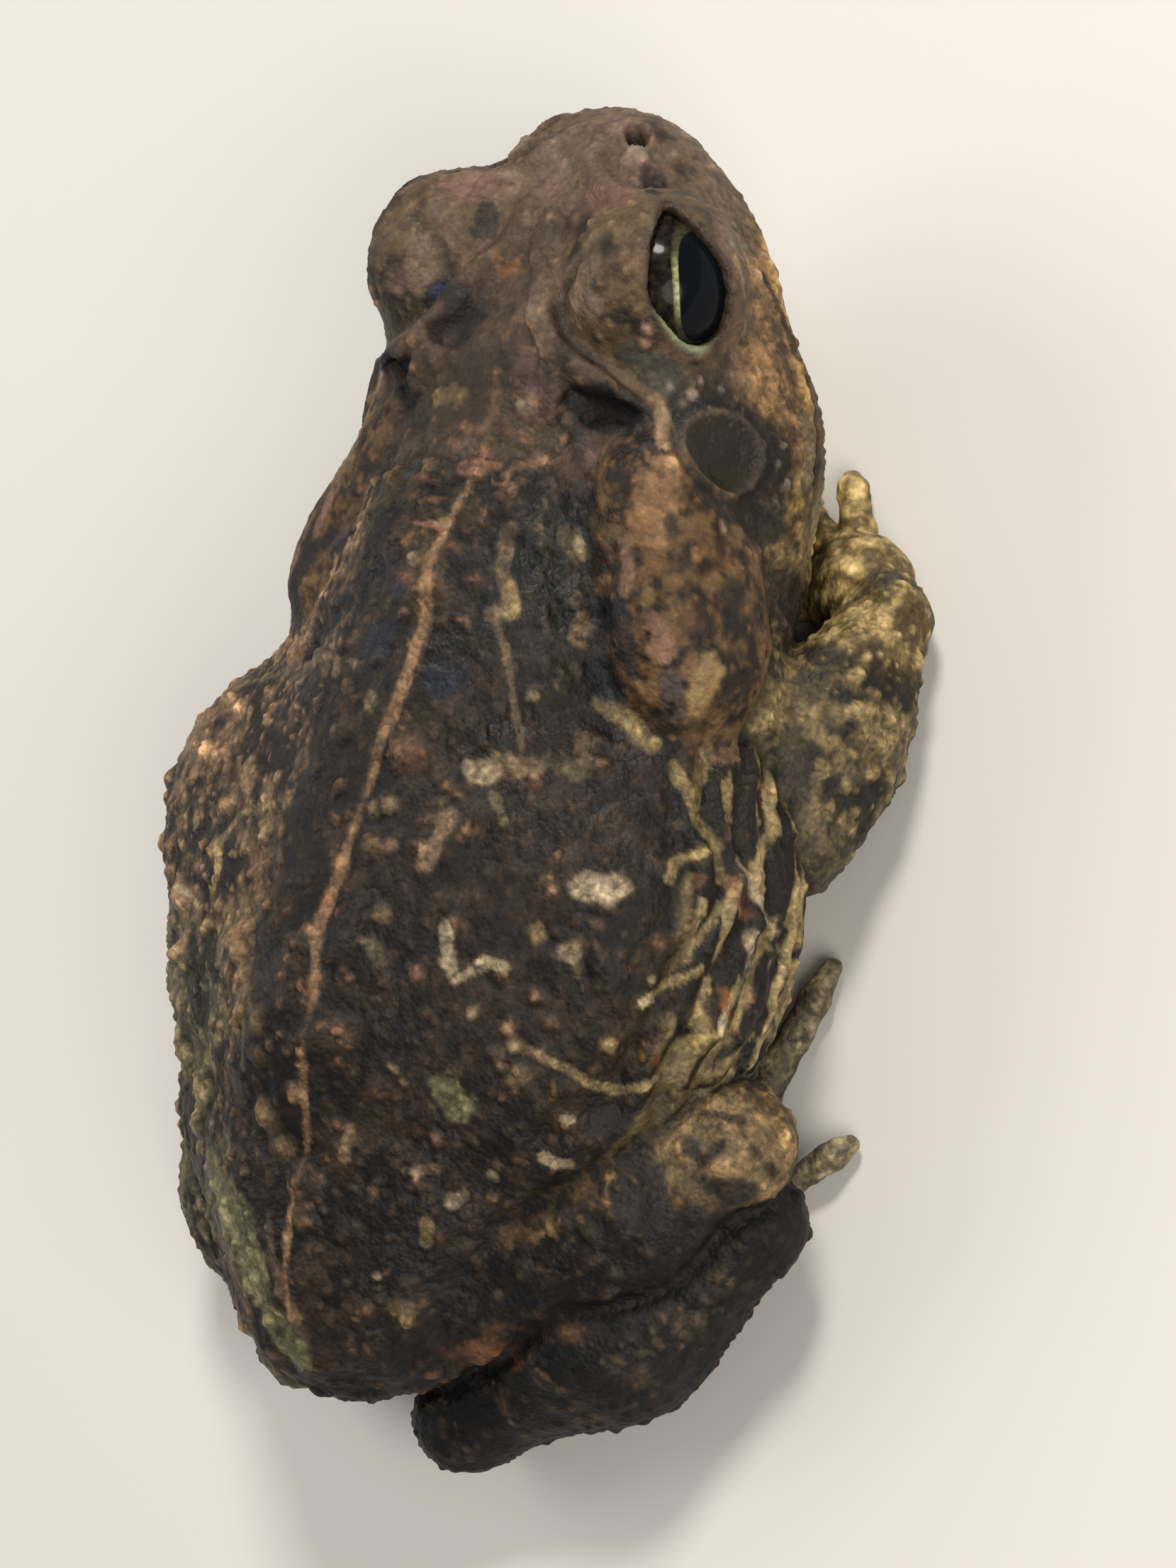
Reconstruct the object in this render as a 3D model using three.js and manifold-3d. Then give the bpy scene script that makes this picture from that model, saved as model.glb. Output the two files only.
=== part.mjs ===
// A cane toad at rest, life size, in millimetres.
// The animal sits with its belly on the floor. Its head points to -Y, its right side lies on -X and +Z is up.
// The origin is on the floor, under the middle of the belly.
import * as THREE from 'three';
import { mergeVertices } from 'three/addons/utils/BufferGeometryUtils.js';
import Module from 'manifold-3d';

const manifold = await Module();
manifold.setup();

// Driving dimensions
const NECK = 19.5;
const NECK_CUT = 0.3;
const GAP = 0.3;
const EYE_RADIUS = 5.7;
const UPPER_LID_THICKNESS = 0.8;
const UPPER_LID_ANGLE = 62;
const LOWER_LID_THICKNESS = 0.6;
const LOWER_LID_ANGLE = -4;
const EYE_AT = { out: 10.1, forward: 36, up: 28 };
const EYE_TILT = 25;
const EAR_AT = { out: 16.8, forward: 25.2, up: 23.9 };
const EAR_HEIGHT = 7;
const EAR_LENGTH = 5.6;
const EAR_SUNK = 0.25;
const LEFT_SHOULDER_IN = 3;
const NOSTRIL_AT = { out: 4, forward: 46.6, up: 27.4 };
const MOUTH_CUT = 0.3;
const MOUTH_FRONT = { forward: 49, up: 18.4 };
const MOUTH_CORNER = { forward: 26.5, up: 13.6 };
const CREST_RADIUS = 0.95;
const CREST_RISE = 0.3;
const BLEND = 5;
const SOFT_BLEND = 8;
const TORSO_DETAIL = 7;
const HEAD_DETAIL = 8;
const LIMB_DETAIL = 3;
const PALM_DETAIL = 2;
const FINGER_SIDES = 6;
const RIDGE_SIDES = 5;
const WART_SIDES = 5;
const LIP_RADIUS = 0.7;
const GOLDEN_ANGLE = 2.39996;
const FAR = 70;

// A place on the animal, given to its right, forward and up
const at = (right, forward, up) => new THREE.Vector3(-right, -forward, up);

// Rounded forms: each tells how far a point lies outside it

function ball(centre, rx, ry, rz, blend = BLEND) {
  const distance = (p) => {
    const x = (p.x - centre.x) / rx;
    const y = (p.y - centre.y) / ry;
    const z = (p.z - centre.z) / rz;
    const near = Math.hypot(x, y, z);
    const slope = Math.hypot(x / rx, y / ry, z / rz);
    return near < 1e-6 ? -Math.min(rx, ry, rz) : near * (near - 1) / slope;
  };
  return { distance, blend };
}

function rod(from, to, fromRadius, toRadius, blend = BLEND) {
  const axis = to.clone().sub(from);
  const square = axis.lengthSq();
  const distance = (p) => {
    const along = ((p.x - from.x) * axis.x + (p.y - from.y) * axis.y + (p.z - from.z) * axis.z) / square;
    const share = Math.min(Math.max(along, 0), 1);
    const x = p.x - from.x - axis.x * share;
    const y = p.y - from.y - axis.y * share;
    const z = p.z - from.z - axis.z * share;
    return Math.hypot(x, y, z) - fromRadius - (toRadius - fromRadius) * share;
  };
  return { distance, blend };
}

// The same form on both sides of the animal
const bothSides = (make) => [make(1), make(-1)];

function distanceTo(forms, p) {
  let total = forms[0].distance(p);
  for (const form of forms.slice(1)) {
    const next = form.distance(p);
    const share = Math.max(form.blend - Math.abs(total - next), 0) / form.blend;
    total = Math.min(total, next) - share * share * form.blend / 4;
  }
  return total;
}

// The outermost point of a set of forms along a ray, with a margin round them
function surfacePoint(forms, root, ray, margin) {
  const p = new THREE.Vector3();
  let reach = FAR;
  for (let step = 0; step < 200; step += 1) {
    p.copy(root).addScaledVector(ray, reach);
    const outside = distanceTo(forms, p) - margin;
    if (outside < 0.004) break;
    reach -= Math.max(outside * 0.8, 0.004);
  }
  return p;
}

function surfaceNormal(forms, p) {
  const slope = (axis) => {
    const step = new THREE.Vector3().setComponent(axis, 0.05);
    return distanceTo(forms, p.clone().add(step)) - distanceTo(forms, p.clone().sub(step));
  };
  return new THREE.Vector3(slope(0), slope(1), slope(2)).normalize();
}

// Solids and their cuts

function closed(geometry, tolerance = 1e-4) {
  const bare = geometry.clone();
  bare.deleteAttribute('normal');
  bare.deleteAttribute('uv');
  return mergeVertices(bare, tolerance);
}

function solidOf(geometry) {
  const merged = closed(geometry);
  const mesh = new manifold.Mesh({
    numProp: 3,
    vertProperties: new Float32Array(merged.attributes.position.array),
    triVerts: new Uint32Array(merged.index.array),
  });
  return new manifold.Manifold(mesh);
}

function geometryOf(solid) {
  const mesh = solid.getMesh();
  const geometry = new THREE.BufferGeometry();
  geometry.setAttribute('position', new THREE.BufferAttribute(new Float32Array(mesh.vertProperties), 3));
  geometry.setIndex(new THREE.BufferAttribute(new Uint32Array(mesh.triVerts), 1));
  return geometry;
}

const byVolume = (solid) => solid.decompose().sort((a, b) => b.volume() - a.volume());

const joined = (solids) => solids.reduce((whole, next) => whole.add(next));

// Forms wrapped in one closed skin, seen from a line inside them
function wrap(forms, from, to, detail, margin) {
  const geometry = closed(new THREE.IcosahedronGeometry(1, detail));
  const place = geometry.attributes.position;
  const axis = to.clone().sub(from).normalize();
  const ray = new THREE.Vector3();
  const root = new THREE.Vector3();
  for (let i = 0; i < place.count; i += 1) {
    ray.fromBufferAttribute(place, i).normalize();
    root.lerpVectors(from, to, (ray.dot(axis) + 1) / 2);
    const p = surfacePoint(forms, root, ray, margin);
    place.setXYZ(i, p.x, p.y, p.z);
  }
  return solidOf(geometry);
}

// A round strand along a curve, such as a finger or a ridge. rings holds pairs of share along it and radius.
function strand(points, rings, margin, sides = FINGER_SIDES) {
  const path = new THREE.CatmullRomCurve3(points);
  const length = path.getLength();
  const profile = [new THREE.Vector2(0, -margin)];
  for (const [share, radius] of rings) {
    profile.push(new THREE.Vector2(radius + margin, share * length));
  }
  profile.push(new THREE.Vector2(0, length + margin));
  const geometry = closed(new THREE.LatheGeometry(profile, sides));
  const place = geometry.attributes.position;
  const up = new THREE.Vector3(0, 0, 1);
  const side = new THREE.Vector3();
  const top = new THREE.Vector3();
  for (let i = 0; i < place.count; i += 1) {
    const run = place.getY(i) / length;
    const share = Math.min(Math.max(run, 0), 1);
    const tangent = path.getTangentAt(share);
    side.crossVectors(tangent, up).normalize();
    top.crossVectors(side, tangent);
    const p = path.getPointAt(share).addScaledVector(tangent, (run - share) * length);
    p.addScaledVector(side, place.getX(i)).addScaledVector(top, place.getZ(i));
    place.setXYZ(i, p.x, p.y, p.z);
  }
  return solidOf(geometry);
}

// A ridge: a strand of one thickness that runs out at both ends
function ridge(points, radius, steps, margin) {
  const rings = [];
  for (let i = 0; i <= steps; i += 1) {
    const atEnd = i === 0 || i === steps;
    rings.push([0.01 + 0.98 * i / steps, radius * (atEnd ? 0.4 : 1)]);
  }
  return strand(points, rings, margin, RIDGE_SIDES);
}

const turned = (normal) => new THREE.Quaternion().setFromUnitVectors(new THREE.Vector3(0, 1, 0), normal);

// A low dome on the skin, its root sunk in
function dome(point, normal, radius, height, margin, sides = WART_SIDES) {
  const profile = [
    new THREE.Vector2(0, -height),
    new THREE.Vector2(radius * 0.8 + margin, -height),
    new THREE.Vector2(radius + margin, 0),
    new THREE.Vector2(radius * 0.6 + margin, height * 0.75 + margin),
    new THREE.Vector2(0, height + margin),
  ];
  const geometry = closed(new THREE.LatheGeometry(profile, sides));
  geometry.applyQuaternion(turned(normal));
  geometry.translate(point.x, point.y, point.z);
  return solidOf(geometry);
}

// Warts set evenly over the upper side of some forms, each of its own size, and left off where bare says so
function warts(forms, spine, { count, small, large, seed, bare }, margin) {
  const random = randomFrom(seed);
  const [from, to] = spine;
  const axis = to.clone().sub(from).normalize();
  const domes = [];
  for (let i = 0; i < count; i += 1) {
    const run = 1 - 2 * (i + 0.5) / count;
    const spin = i * GOLDEN_ANGLE + (random() - 0.5) * 0.5;
    const radius = small + (large - small) * random() ** 2;
    const flat = Math.sqrt(1 - run * run);
    const ray = new THREE.Vector3(Math.sin(spin) * flat, run, Math.cos(spin) * flat);
    const root = new THREE.Vector3().lerpVectors(from, to, (ray.dot(axis) + 1) / 2);
    const point = surfacePoint(forms, root, ray, 0);
    if (ray.z < 0 || bare(point)) continue;
    domes.push(dome(point, surfaceNormal(forms, point), radius, radius * 0.42, margin));
  }
  return domes;
}

function block(low, high) {
  const size = high.clone().sub(low);
  const middle = low.clone().add(high).multiplyScalar(0.5);
  const geometry = new THREE.BoxGeometry(Math.abs(size.x), Math.abs(size.y), Math.abs(size.z));
  geometry.translate(middle.x, middle.y, middle.z);
  return solidOf(geometry);
}

// A fixed run of random numbers, from 0 to 1
function randomFrom(seed) {
  let state = seed;
  return () => {
    state = (state + 0x6d2b79f5) | 0;
    let value = Math.imul(state ^ (state >>> 15), 1 | state);
    value = (value + Math.imul(value ^ (value >>> 7), 61 | value)) ^ value;
    return ((value ^ (value >>> 14)) >>> 0) / 4294967296;
  };
}

// Head, from the skull and cheeks to the throat

const neckForms = [
  rod(at(0, 24, 21.6), at(0, 10, 20), 9.4, 11.4, SOFT_BLEND),
  ball(at(0, 18, 14.5), 17, 12, 11.5, SOFT_BLEND),
  ball(at(0, 9, 14.5), 17.6, 20, 14),
  rod(at(0, 15, 25), at(0, -22, 26.5), 5.6, 5.6, SOFT_BLEND),
];

const headForms = [
  ball(at(0, 32, 22), 12.4, 13, 9),
  ...bothSides((side) => ball(at(11 * side, 25.5, 22), 5.6, 7, 6, 3)),
  ball(at(0, 42.5, 23), 8.9, 7.6, 6.4),
  ...bothSides((side) => ball(at(6.9 * side, 29.5, 19.5), 8.9, 11.3, 5.4)),
  ...bothSides((side) => ball(at(3.6 * side, 35.9, 19), 6.6, 7.7, 4.5)),
  ...bothSides((side) => ball(at(8.4 * side, 35.2, 27), 6.3, 7.8, 5.9, 3)),
  ball(at(0, 32.7, 16.2), 11, 13.7, 5.6),
  ...bothSides((side) => ball(at(7.5 * side, 26, 14.6), 10.5, 9.2, 6)),
  ball(at(0, 27, 12.6), 12, 11.3, 6.4, SOFT_BLEND),
  ...neckForms,
];

const HEAD_SPINE = [at(0, 23, 19), at(0, 40, 21)];

const eyeCentre = (side) => at(EYE_AT.out * side, EYE_AT.forward, EYE_AT.up);

// A sphere about an eye, and the part of it above the edge of the upper lid
function eyeBall(side, radius, detail) {
  const geometry = new THREE.IcosahedronGeometry(radius, detail);
  const centre = eyeCentre(side);
  geometry.translate(centre.x, centre.y, centre.z);
  return solidOf(geometry);
}

// A lid: the shell of a sphere on one side of a plane through the eye, tipped to the angle of the lid's edge.
// The opening between the lids is higher at its front end than at its back.
function lid(side, angle, keepsAbove, thickness, margin) {
  const cover = eyeBall(side, EYE_RADIUS + thickness + margin, 3);
  const reach = EYE_RADIUS * 3;
  const cut = new THREE.BoxGeometry(reach, reach, reach);
  const away = keepsAbove ? -1 : 1;
  cut.translate(0, 0, away * (reach / 2 + margin));
  const lift = THREE.MathUtils.degToRad((UPPER_LID_ANGLE + LOWER_LID_ANGLE) / 2);
  const out = at(side * Math.cos(lift), 0, Math.sin(lift));
  const ahead = at(0, 1, 0).applyAxisAngle(out, THREE.MathUtils.degToRad(EYE_TILT * side));
  const plane = out.clone().applyAxisAngle(ahead, -side * (THREE.MathUtils.degToRad(angle) - lift));
  const above = new THREE.Vector3().crossVectors(plane, ahead).multiplyScalar(side);
  const turn = new THREE.Matrix4().makeBasis(plane, ahead.multiplyScalar(side), above);
  cut.applyMatrix4(turn.setPosition(eyeCentre(side)));
  return cover.subtract(solidOf(cut));
}

// A place brought onto the head's surface, from the nearest point of the line inside it
function onHead(place) {
  const [from, to] = HEAD_SPINE;
  const root = new THREE.Line3(from, to).closestPointToPoint(place, true, new THREE.Vector3());
  const ray = place.clone().sub(root).normalize();
  return surfacePoint(headForms, root, ray, CREST_RISE);
}

// Bony ridges: from the nostril to the eye, round the inner edge of the lid, and behind it to the crown
function crests(side, margin) {
  const snout = [
    at(1.9 * side, 45.2, 29),
    at(2.8 * side, 43.2, 29.6),
    at(6 * side, 41.4, 30.9),
    at(8.4 * side, 41, 31),
  ];
  const brow = [
    at(1.2 * side, 41, 30.2),
    at(1.4 * side, 37, 30.8),
    at(3.3 * side, 33.8, 32.3),
    at(4.6 * side, 31, 32.6),
    at(6.8 * side, 28.8, 32.4),
    at(9.5 * side, 27.6, 31.4),
    at(11.6 * side, 26.9, 30.2),
    at(13.6 * side, 26.4, 29.2),
  ];
  const crown = [at(6.2 * side, 29.2, 32.4), at(5.9 * side, 26.8, 31.6), at(6.4 * side, 24.4, 31)];
  const lines = [[snout, 0.8], [brow, 1], [crown, 0.7]];
  return joined(lines.map(([line, share]) => (
    ridge(line.map(onHead), CREST_RADIUS * share, line.length * 2 - 1, margin))));
}

// The ear drum, a disc with its root sunk in the head
function earDisc(side, margin) {
  const profile = [
    new THREE.Vector2(0, -2 - margin),
    new THREE.Vector2(0.5 + margin / EAR_LENGTH, -2 - margin),
    new THREE.Vector2(0.5 + margin / EAR_LENGTH, 0),
    new THREE.Vector2(0.28, 0.3 + margin),
    new THREE.Vector2(0, 0.36 + margin),
  ];
  const geometry = new THREE.LatheGeometry(profile, 14);
  geometry.scale(EAR_LENGTH, 1, EAR_HEIGHT);
  geometry.rotateX(Math.PI / 2);
  return placedEar(geometry, side);
}

// The ear's raised rim
function earRim(side, margin) {
  const geometry = new THREE.TorusGeometry(0.5, 0.09 + margin * 0.15, 4, 14);
  geometry.scale(EAR_LENGTH + 0.6, EAR_HEIGHT + 0.6, 7);
  return placedEar(geometry, side);
}

// Turns a shape that lies flat, facing +Z, to face out at the ear
function placedEar(geometry, side) {
  const centre = onHead(at(EAR_AT.out * side, EAR_AT.forward, EAR_AT.up));
  const out = surfaceNormal(headForms, centre);
  const along = new THREE.Vector3(0, 1, 0).addScaledVector(out, -out.y).normalize();
  const up = new THREE.Vector3().crossVectors(out, along);
  if (up.z < 0) up.negate();
  const first = new THREE.Vector3().crossVectors(up, out);
  const turn = new THREE.Matrix4().makeBasis(first, up, out);
  geometry.applyMatrix4(turn.setPosition(centre.addScaledVector(out, -EAR_SUNK)));
  return solidOf(geometry);
}

function nostril(side, margin) {
  const geometry = new THREE.IcosahedronGeometry(0.95 + margin, 1);
  geometry.scale(0.7, 1.1, 1);
  const centre = at(NOSTRIL_AT.out * side, NOSTRIL_AT.forward, NOSTRIL_AT.up);
  geometry.translate(centre.x, centre.y, centre.z);
  return solidOf(geometry);
}

// The lip, a low ridge round the edge of the upper jaw
function lip(margin) {
  const points = [];
  const steps = 12;
  for (let i = 0; i <= steps; i += 1) {
    const turn = THREE.MathUtils.degToRad(-106 + 212 * i / steps);
    const ray = at(Math.sin(turn), Math.cos(turn), 0);
    const middle = at(0, 31, mouthHeight(31 + 17 * Math.cos(turn)) + LIP_RADIUS);
    points.push(surfacePoint(headForms, middle, ray, -LIP_RADIUS * 0.15));
  }
  return ridge(points, LIP_RADIUS, steps, margin);
}

// Warts of the head: on the snout, the lids and the cheeks
function headWarts(margin) {
  const bare = (p) => {
    const overEye = p.distanceTo(eyeCentre(p.x < 0 ? 1 : -1)) < EYE_RADIUS * 1.5;
    return -p.y < NECK + 3 || p.z < 17 || overEye;
  };
  return warts(headForms, HEAD_SPINE, { count: 19, small: 0.65, large: 1.1, seed: 12, bare }, margin);
}

function headWhole(margin) {
  const skin = wrap(headForms, ...HEAD_SPINE, HEAD_DETAIL, margin);
  const added = [1, -1].flatMap((side) => [
    lid(side, UPPER_LID_ANGLE, true, UPPER_LID_THICKNESS, margin),
    lid(side, LOWER_LID_ANGLE, false, LOWER_LID_THICKNESS, margin),
    crests(side, margin),
    earRim(side, margin),
  ]);
  let head = joined([skin, ...added, lip(margin), ...headWarts(margin)]);
  for (const side of [1, -1]) {
    if (margin === 0) head = head.subtract(nostril(side, 0));
  }
  return head.subtract(block(at(60, NECK + NECK_CUT / 2, -10), at(-60, -60, 60)));
}

// The height of the mouth line at each distance forward
function mouthHeight(forward) {
  const share = (forward - MOUTH_CORNER.forward) / (MOUTH_FRONT.forward - MOUTH_CORNER.forward);
  const run = Math.min(Math.max(share, 0), 1);
  return MOUTH_CORNER.up + (MOUTH_FRONT.up - MOUTH_CORNER.up) * run ** 0.85;
}

// The sheet that parts the lower jaw from the head, seen from the side as forward and up
function mouthSheet() {
  const line = [56, 49, 44, 39, 34, 30, 27].map((forward) => [forward, mouthHeight(forward)]);
  line.push([24.6, 10.8], [22.4, 6], [21, -6]);
  const middle = line.map(([forward, up]) => at(0, forward, up));
  const path = new THREE.CatmullRomCurve3(middle, false, 'centripetal');
  const upper = path.getPoints(12);
  const shape = new THREE.Shape();
  const edge = (offset) => upper.map((p, i) => {
    const before = upper[Math.max(i - 1, 0)];
    const after = upper[Math.min(i + 1, upper.length - 1)];
    const along = after.clone().sub(before).normalize();
    return new THREE.Vector2(p.y - along.z * offset, p.z + along.y * offset);
  });
  shape.setFromPoints([...edge(MOUTH_CUT / 2), ...edge(-MOUTH_CUT / 2).reverse()]);
  const geometry = new THREE.ExtrudeGeometry(shape, { depth: 80, bevelEnabled: false });
  geometry.translate(0, 0, -40);
  geometry.applyMatrix4(new THREE.Matrix4().makeBasis(
    new THREE.Vector3(0, 1, 0),
    new THREE.Vector3(0, 0, 1),
    new THREE.Vector3(1, 0, 0),
  ));
  return solidOf(geometry);
}

// Torso

const TORSO_SPINE = [at(0, 12, 14), at(0, -32, 13)];

const torsoForms = [
  ball(at(0, -11, 14.6), 26.6, 29, 17.6),
  ball(at(0, -34, 15), 14, 16.4, 12.5),
  ball(at(-19, -8, 17), 8.6, 10, 9),
  ...neckForms,
];

// The back's warts: bigger along the sides of the back, with none under the glands or the belly
function backWarts(margin) {
  const bare = (p) => {
    const forward = -p.y;
    const underGland = forward > 2 && Math.abs(p.x) > 8;
    return forward > NECK - 3 || underGland || p.z < 9;
  };
  return warts(torsoForms, TORSO_SPINE, { count: 86, small: 0.9, large: 2, seed: 41, bare }, margin);
}

function torso(margin) {
  const skin = wrap(torsoForms, ...TORSO_SPINE, TORSO_DETAIL, margin);
  const whole = joined([skin, ...backWarts(margin)]);
  return whole.subtract(block(at(60, 80, -10), at(-60, NECK - NECK_CUT / 2, 60)));
}

// The large poison gland behind each eye and ear
function parotoid(side, margin) {
  const drawnIn = side > 0 ? 0 : LEFT_SHOULDER_IN;
  const place = (out, forward, up) => at((out - drawnIn) * side, forward, up);
  const forms = [
    ball(place(12.6, 21.8, 25.8), 3.3, 4.4, 3.8),
    ball(place(15.2, 15.2, 24.5), 4.3, 6.6, 4.1),
    ball(place(17.4, 13, 21), 3.7, 6.2, 4.8),
    ball(place(18.2, 9.4, 21.4), 3.8, 5.2, 4.7),
  ];
  return wrap(forms, place(13.2, 19.6, 24.6), place(17, 11, 22.4), LIMB_DETAIL, margin);
}

// Limbs. The right leg lies out to the side and the left one is tucked in.

const rightLeg = {
  hip: at(9, -37, 13.5),
  knee: at(26.2, -23.5, 12),
  bend: at(27, -28.4, 8.4),
  heel: at(7, -50.4, 7),
};
const leftLeg = {
  hip: at(-9, -37, 13.5),
  knee: at(-22, -24.4, 10.5),
  bend: at(-23.8, -29, 7.8),
  heel: at(-11, -49, 6.4),
};
const legPose = (side) => (side > 0 ? rightLeg : leftLeg);

const armPose = (side) => (side > 0
  ? { shoulder: at(15, 10, 16.5), elbow: at(21.4, 0.2, 8), wrist: at(22.8, 18.6, 4.4) }
  : { shoulder: at(-15, 10, 16.5), elbow: at(-24, 0.5, 8.5), wrist: at(-22.8, 18.6, 4) });

function thigh(side, margin) {
  const { hip, knee } = legPose(side);
  const middle = hip.clone().lerp(knee, 0.5);
  const forms = [
    rod(hip, knee, 8, 5.2),
    ball(middle, 8, 8, 6.4),
  ];
  return wrap(forms, hip, knee, LIMB_DETAIL, margin);
}

function shank(side, margin) {
  const { bend, heel } = legPose(side);
  const calf = bend.clone().lerp(heel, 0.45);
  const thickness = side > 0 ? 7.2 : 6.4;
  const forms = [
    rod(bend, calf, 4.8, thickness),
    rod(calf, heel, thickness, 4),
  ];
  return wrap(forms, bend, heel, LIMB_DETAIL, margin);
}

function upperArm(side, margin) {
  const { shoulder, elbow } = armPose(side);
  return wrap([rod(shoulder, elbow, 6, 4.4)], shoulder, elbow, LIMB_DETAIL, margin);
}

function forearm(side, margin) {
  const { elbow, wrist } = armPose(side);
  const bulge = elbow.clone().lerp(wrist, 0.45);
  const forms = [rod(elbow, wrist, 4.6, 3.4), ball(bulge, 5.4, 9, 6.4)];
  return wrap(forms, elbow, wrist, LIMB_DETAIL, margin);
}

// A finger or toe: its knuckles are thicker than the lengths between them, and its tip is round
function digit(base, tip, thickness, margin, rise = 0.6) {
  const middle = base.clone().lerp(tip, 0.5);
  middle.z += rise;
  const radius = thickness / 2;
  const rings = [[0.02, 1], [0.42, 1.04], [0.7, 0.8], [0.92, 0.88], [0.99, 0.5]];
  return strand([base, middle, tip], rings.map(([share, size]) => [share, size * radius]), margin);
}

// The hand turns inwards under the chin. Each finger leaves the palm at its own angle from straight ahead.
function hand(side, margin) {
  const palm = { right: 19, forward: 20.6 };
  const forms = [
    rod(at(22 * side, 18.2, 3.6), at(palm.right * side, palm.forward, 2.6), 3.2, 3.4),
    ball(at((palm.right - 1.2) * side, palm.forward, 2.2), 4.2, 4.4, 2.6),
  ];
  const back = at(22 * side, 18.2, 3);
  const front = at((palm.right - 1) * side, palm.forward, 2.2);
  const skin = wrap(forms, back, front, PALM_DETAIL, margin);
  const fingers = [
    { angle: 30, length: 10, start: 1.4 },
    { angle: 56, length: 11.5, start: 1 },
    { angle: 82, length: 9, start: 1 },
    { angle: 108, length: 8.5, start: 0.8 },
  ].map(({ angle, length, start }) => {
    const turn = THREE.MathUtils.degToRad(angle);
    const place = (reach, up) => at(
      (palm.right - Math.sin(turn) * reach) * side,
      palm.forward + Math.cos(turn) * reach,
      up,
    );
    return digit(place(start, 2), place(length, 1.2), 2.6, margin);
  });
  return joined([skin, ...fingers]);
}

// The foot: a slender ankle bone row from heel to sole, five toes and the web between their roots
function foot(side, margin) {
  const tucked = side > 0 ? 0 : -3;
  const place = (right, forward, up) => at((right + tucked) * side, forward, up);
  const { heel } = legPose(side);
  const low = heel.clone().setZ(3.4);
  const sole = place(16.8, -36.5, 2.8);
  const forms = [
    rod(low, sole, 3, 2.9),
    ball(place(18, -33, 2.4), 3.8, 5, 2.3),
  ];
  const skin = wrap(forms, low, place(17.6, -34, 2.6), PALM_DETAIL, margin);
  const toes = [
    { base: place(16.2, -32.5, 1.8), tip: place(15.6, -26, 1.1) },
    { base: place(17.2, -31, 1.8), tip: place(18.2, -21.5, 1.1) },
    { base: place(18.2, -30.5, 1.9), tip: place(21.4, -15.5, 1.2) },
    { base: place(19.4, -31, 1.9), tip: place(24.4, -8.4, 1.2) },
    { base: place(20.2, -32, 1.9), tip: place(30, -21, 1.2) },
  ];
  const digits = toes.map(({ base, tip }) => digit(base, tip, 2.6, margin, 0.3));
  const webs = toes.slice(1).map((toe, i) => web(toes[i], toe, margin));
  return joined([skin, ...digits, ...webs]);
}

// The web between the roots of two toes
function web(first, second, margin) {
  const along = (toe, share) => toe.base.clone().lerp(toe.tip, share);
  const corners = [along(first, -0.1), along(first, 0.5), along(second, 0.42), along(second, -0.1)];
  const hollow = along(first, 0.22).add(along(second, 0.2)).multiplyScalar(0.5);
  const shape = new THREE.Shape();
  shape.moveTo(corners[0].x, corners[0].y);
  shape.lineTo(corners[1].x, corners[1].y);
  shape.quadraticCurveTo(hollow.x, hollow.y, corners[2].x, corners[2].y);
  shape.lineTo(corners[3].x, corners[3].y);
  const depth = 0.9 + margin * 2;
  const geometry = new THREE.ExtrudeGeometry(shape, { depth, bevelEnabled: false, curveSegments: 4 });
  geometry.translate(0, 0, 0.6 - margin);
  return solidOf(geometry);
}

// Finishes: colour, roughness

const finishes = {
  skin: { color: 0x4a3c30, roughness: 0.6 },
  head: { color: 0x4e4238, roughness: 0.6 },
  gland: { color: 0x6b4a32, roughness: 0.6 },
  limb: { color: 0x7d683f, roughness: 0.6 },
  ear: { color: 0x35322f, roughness: 0.5 },
  eye: { color: 0x16140f, roughness: 0.08 },
};

// The sub-parts, in the order in which one keeps its whole form and the next is cut clear of it
const paired = (name, finish, make) => [1, -1].map((side) => ({
  name: `${name}_${side > 0 ? 'right' : 'left'}`,
  finish,
  make: (margin) => make(side, margin),
}));

const parts = [
  ...paired('eye', 'eye', (side, margin) => eyeBall(side, EYE_RADIUS + margin, 3)),
  ...paired('tympanum', 'ear', earDisc),
  ...paired('parotoid', 'gland', parotoid),
  ...paired('hand', 'limb', hand),
  ...paired('foot', 'limb', foot),
  { name: 'torso', finish: 'skin', make: torso },
  { name: 'head', finish: 'head', make: headWhole },
  ...paired('thigh', 'limb', thigh),
  ...paired('upper_arm', 'limb', upperArm),
  ...paired('shank', 'limb', shank),
  ...paired('forearm', 'limb', forearm),
];

const floor = block(at(100, 100, -60), at(-100, -100, 0));
const toad = new THREE.Group();

function addMesh(name, finish, solid) {
  const material = new THREE.MeshStandardMaterial({ ...finishes[finish], metalness: 0 });
  const mesh = new THREE.Mesh(geometryOf(solid), material);
  mesh.name = name;
  toad.add(mesh);
}

const earlier = [];
for (const { name, finish, make } of parts) {
  let solid = make(0).subtract(floor);
  for (const keeper of earlier) solid = solid.subtract(keeper);
  earlier.push(make(GAP));
  if (name === 'head') {
    const [skull, jaw] = byVolume(solid.subtract(mouthSheet()));
    addMesh('head', finish, skull);
    addMesh('lower_jaw', finish, jaw);
  } else {
    addMesh(name, finish, byVolume(solid)[0]);
  }
}

export default toad;
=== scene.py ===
"""A cane toad at rest, life size: its living skin and eyes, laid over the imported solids.

Shapes are worked out in millimetres and given to Blender in metres.
The head points to -Y, the animal's right side lies on -X and +Z is up.
"""

import math

import bpy
import numpy as np
import openvdb
from mathutils import Matrix


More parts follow.
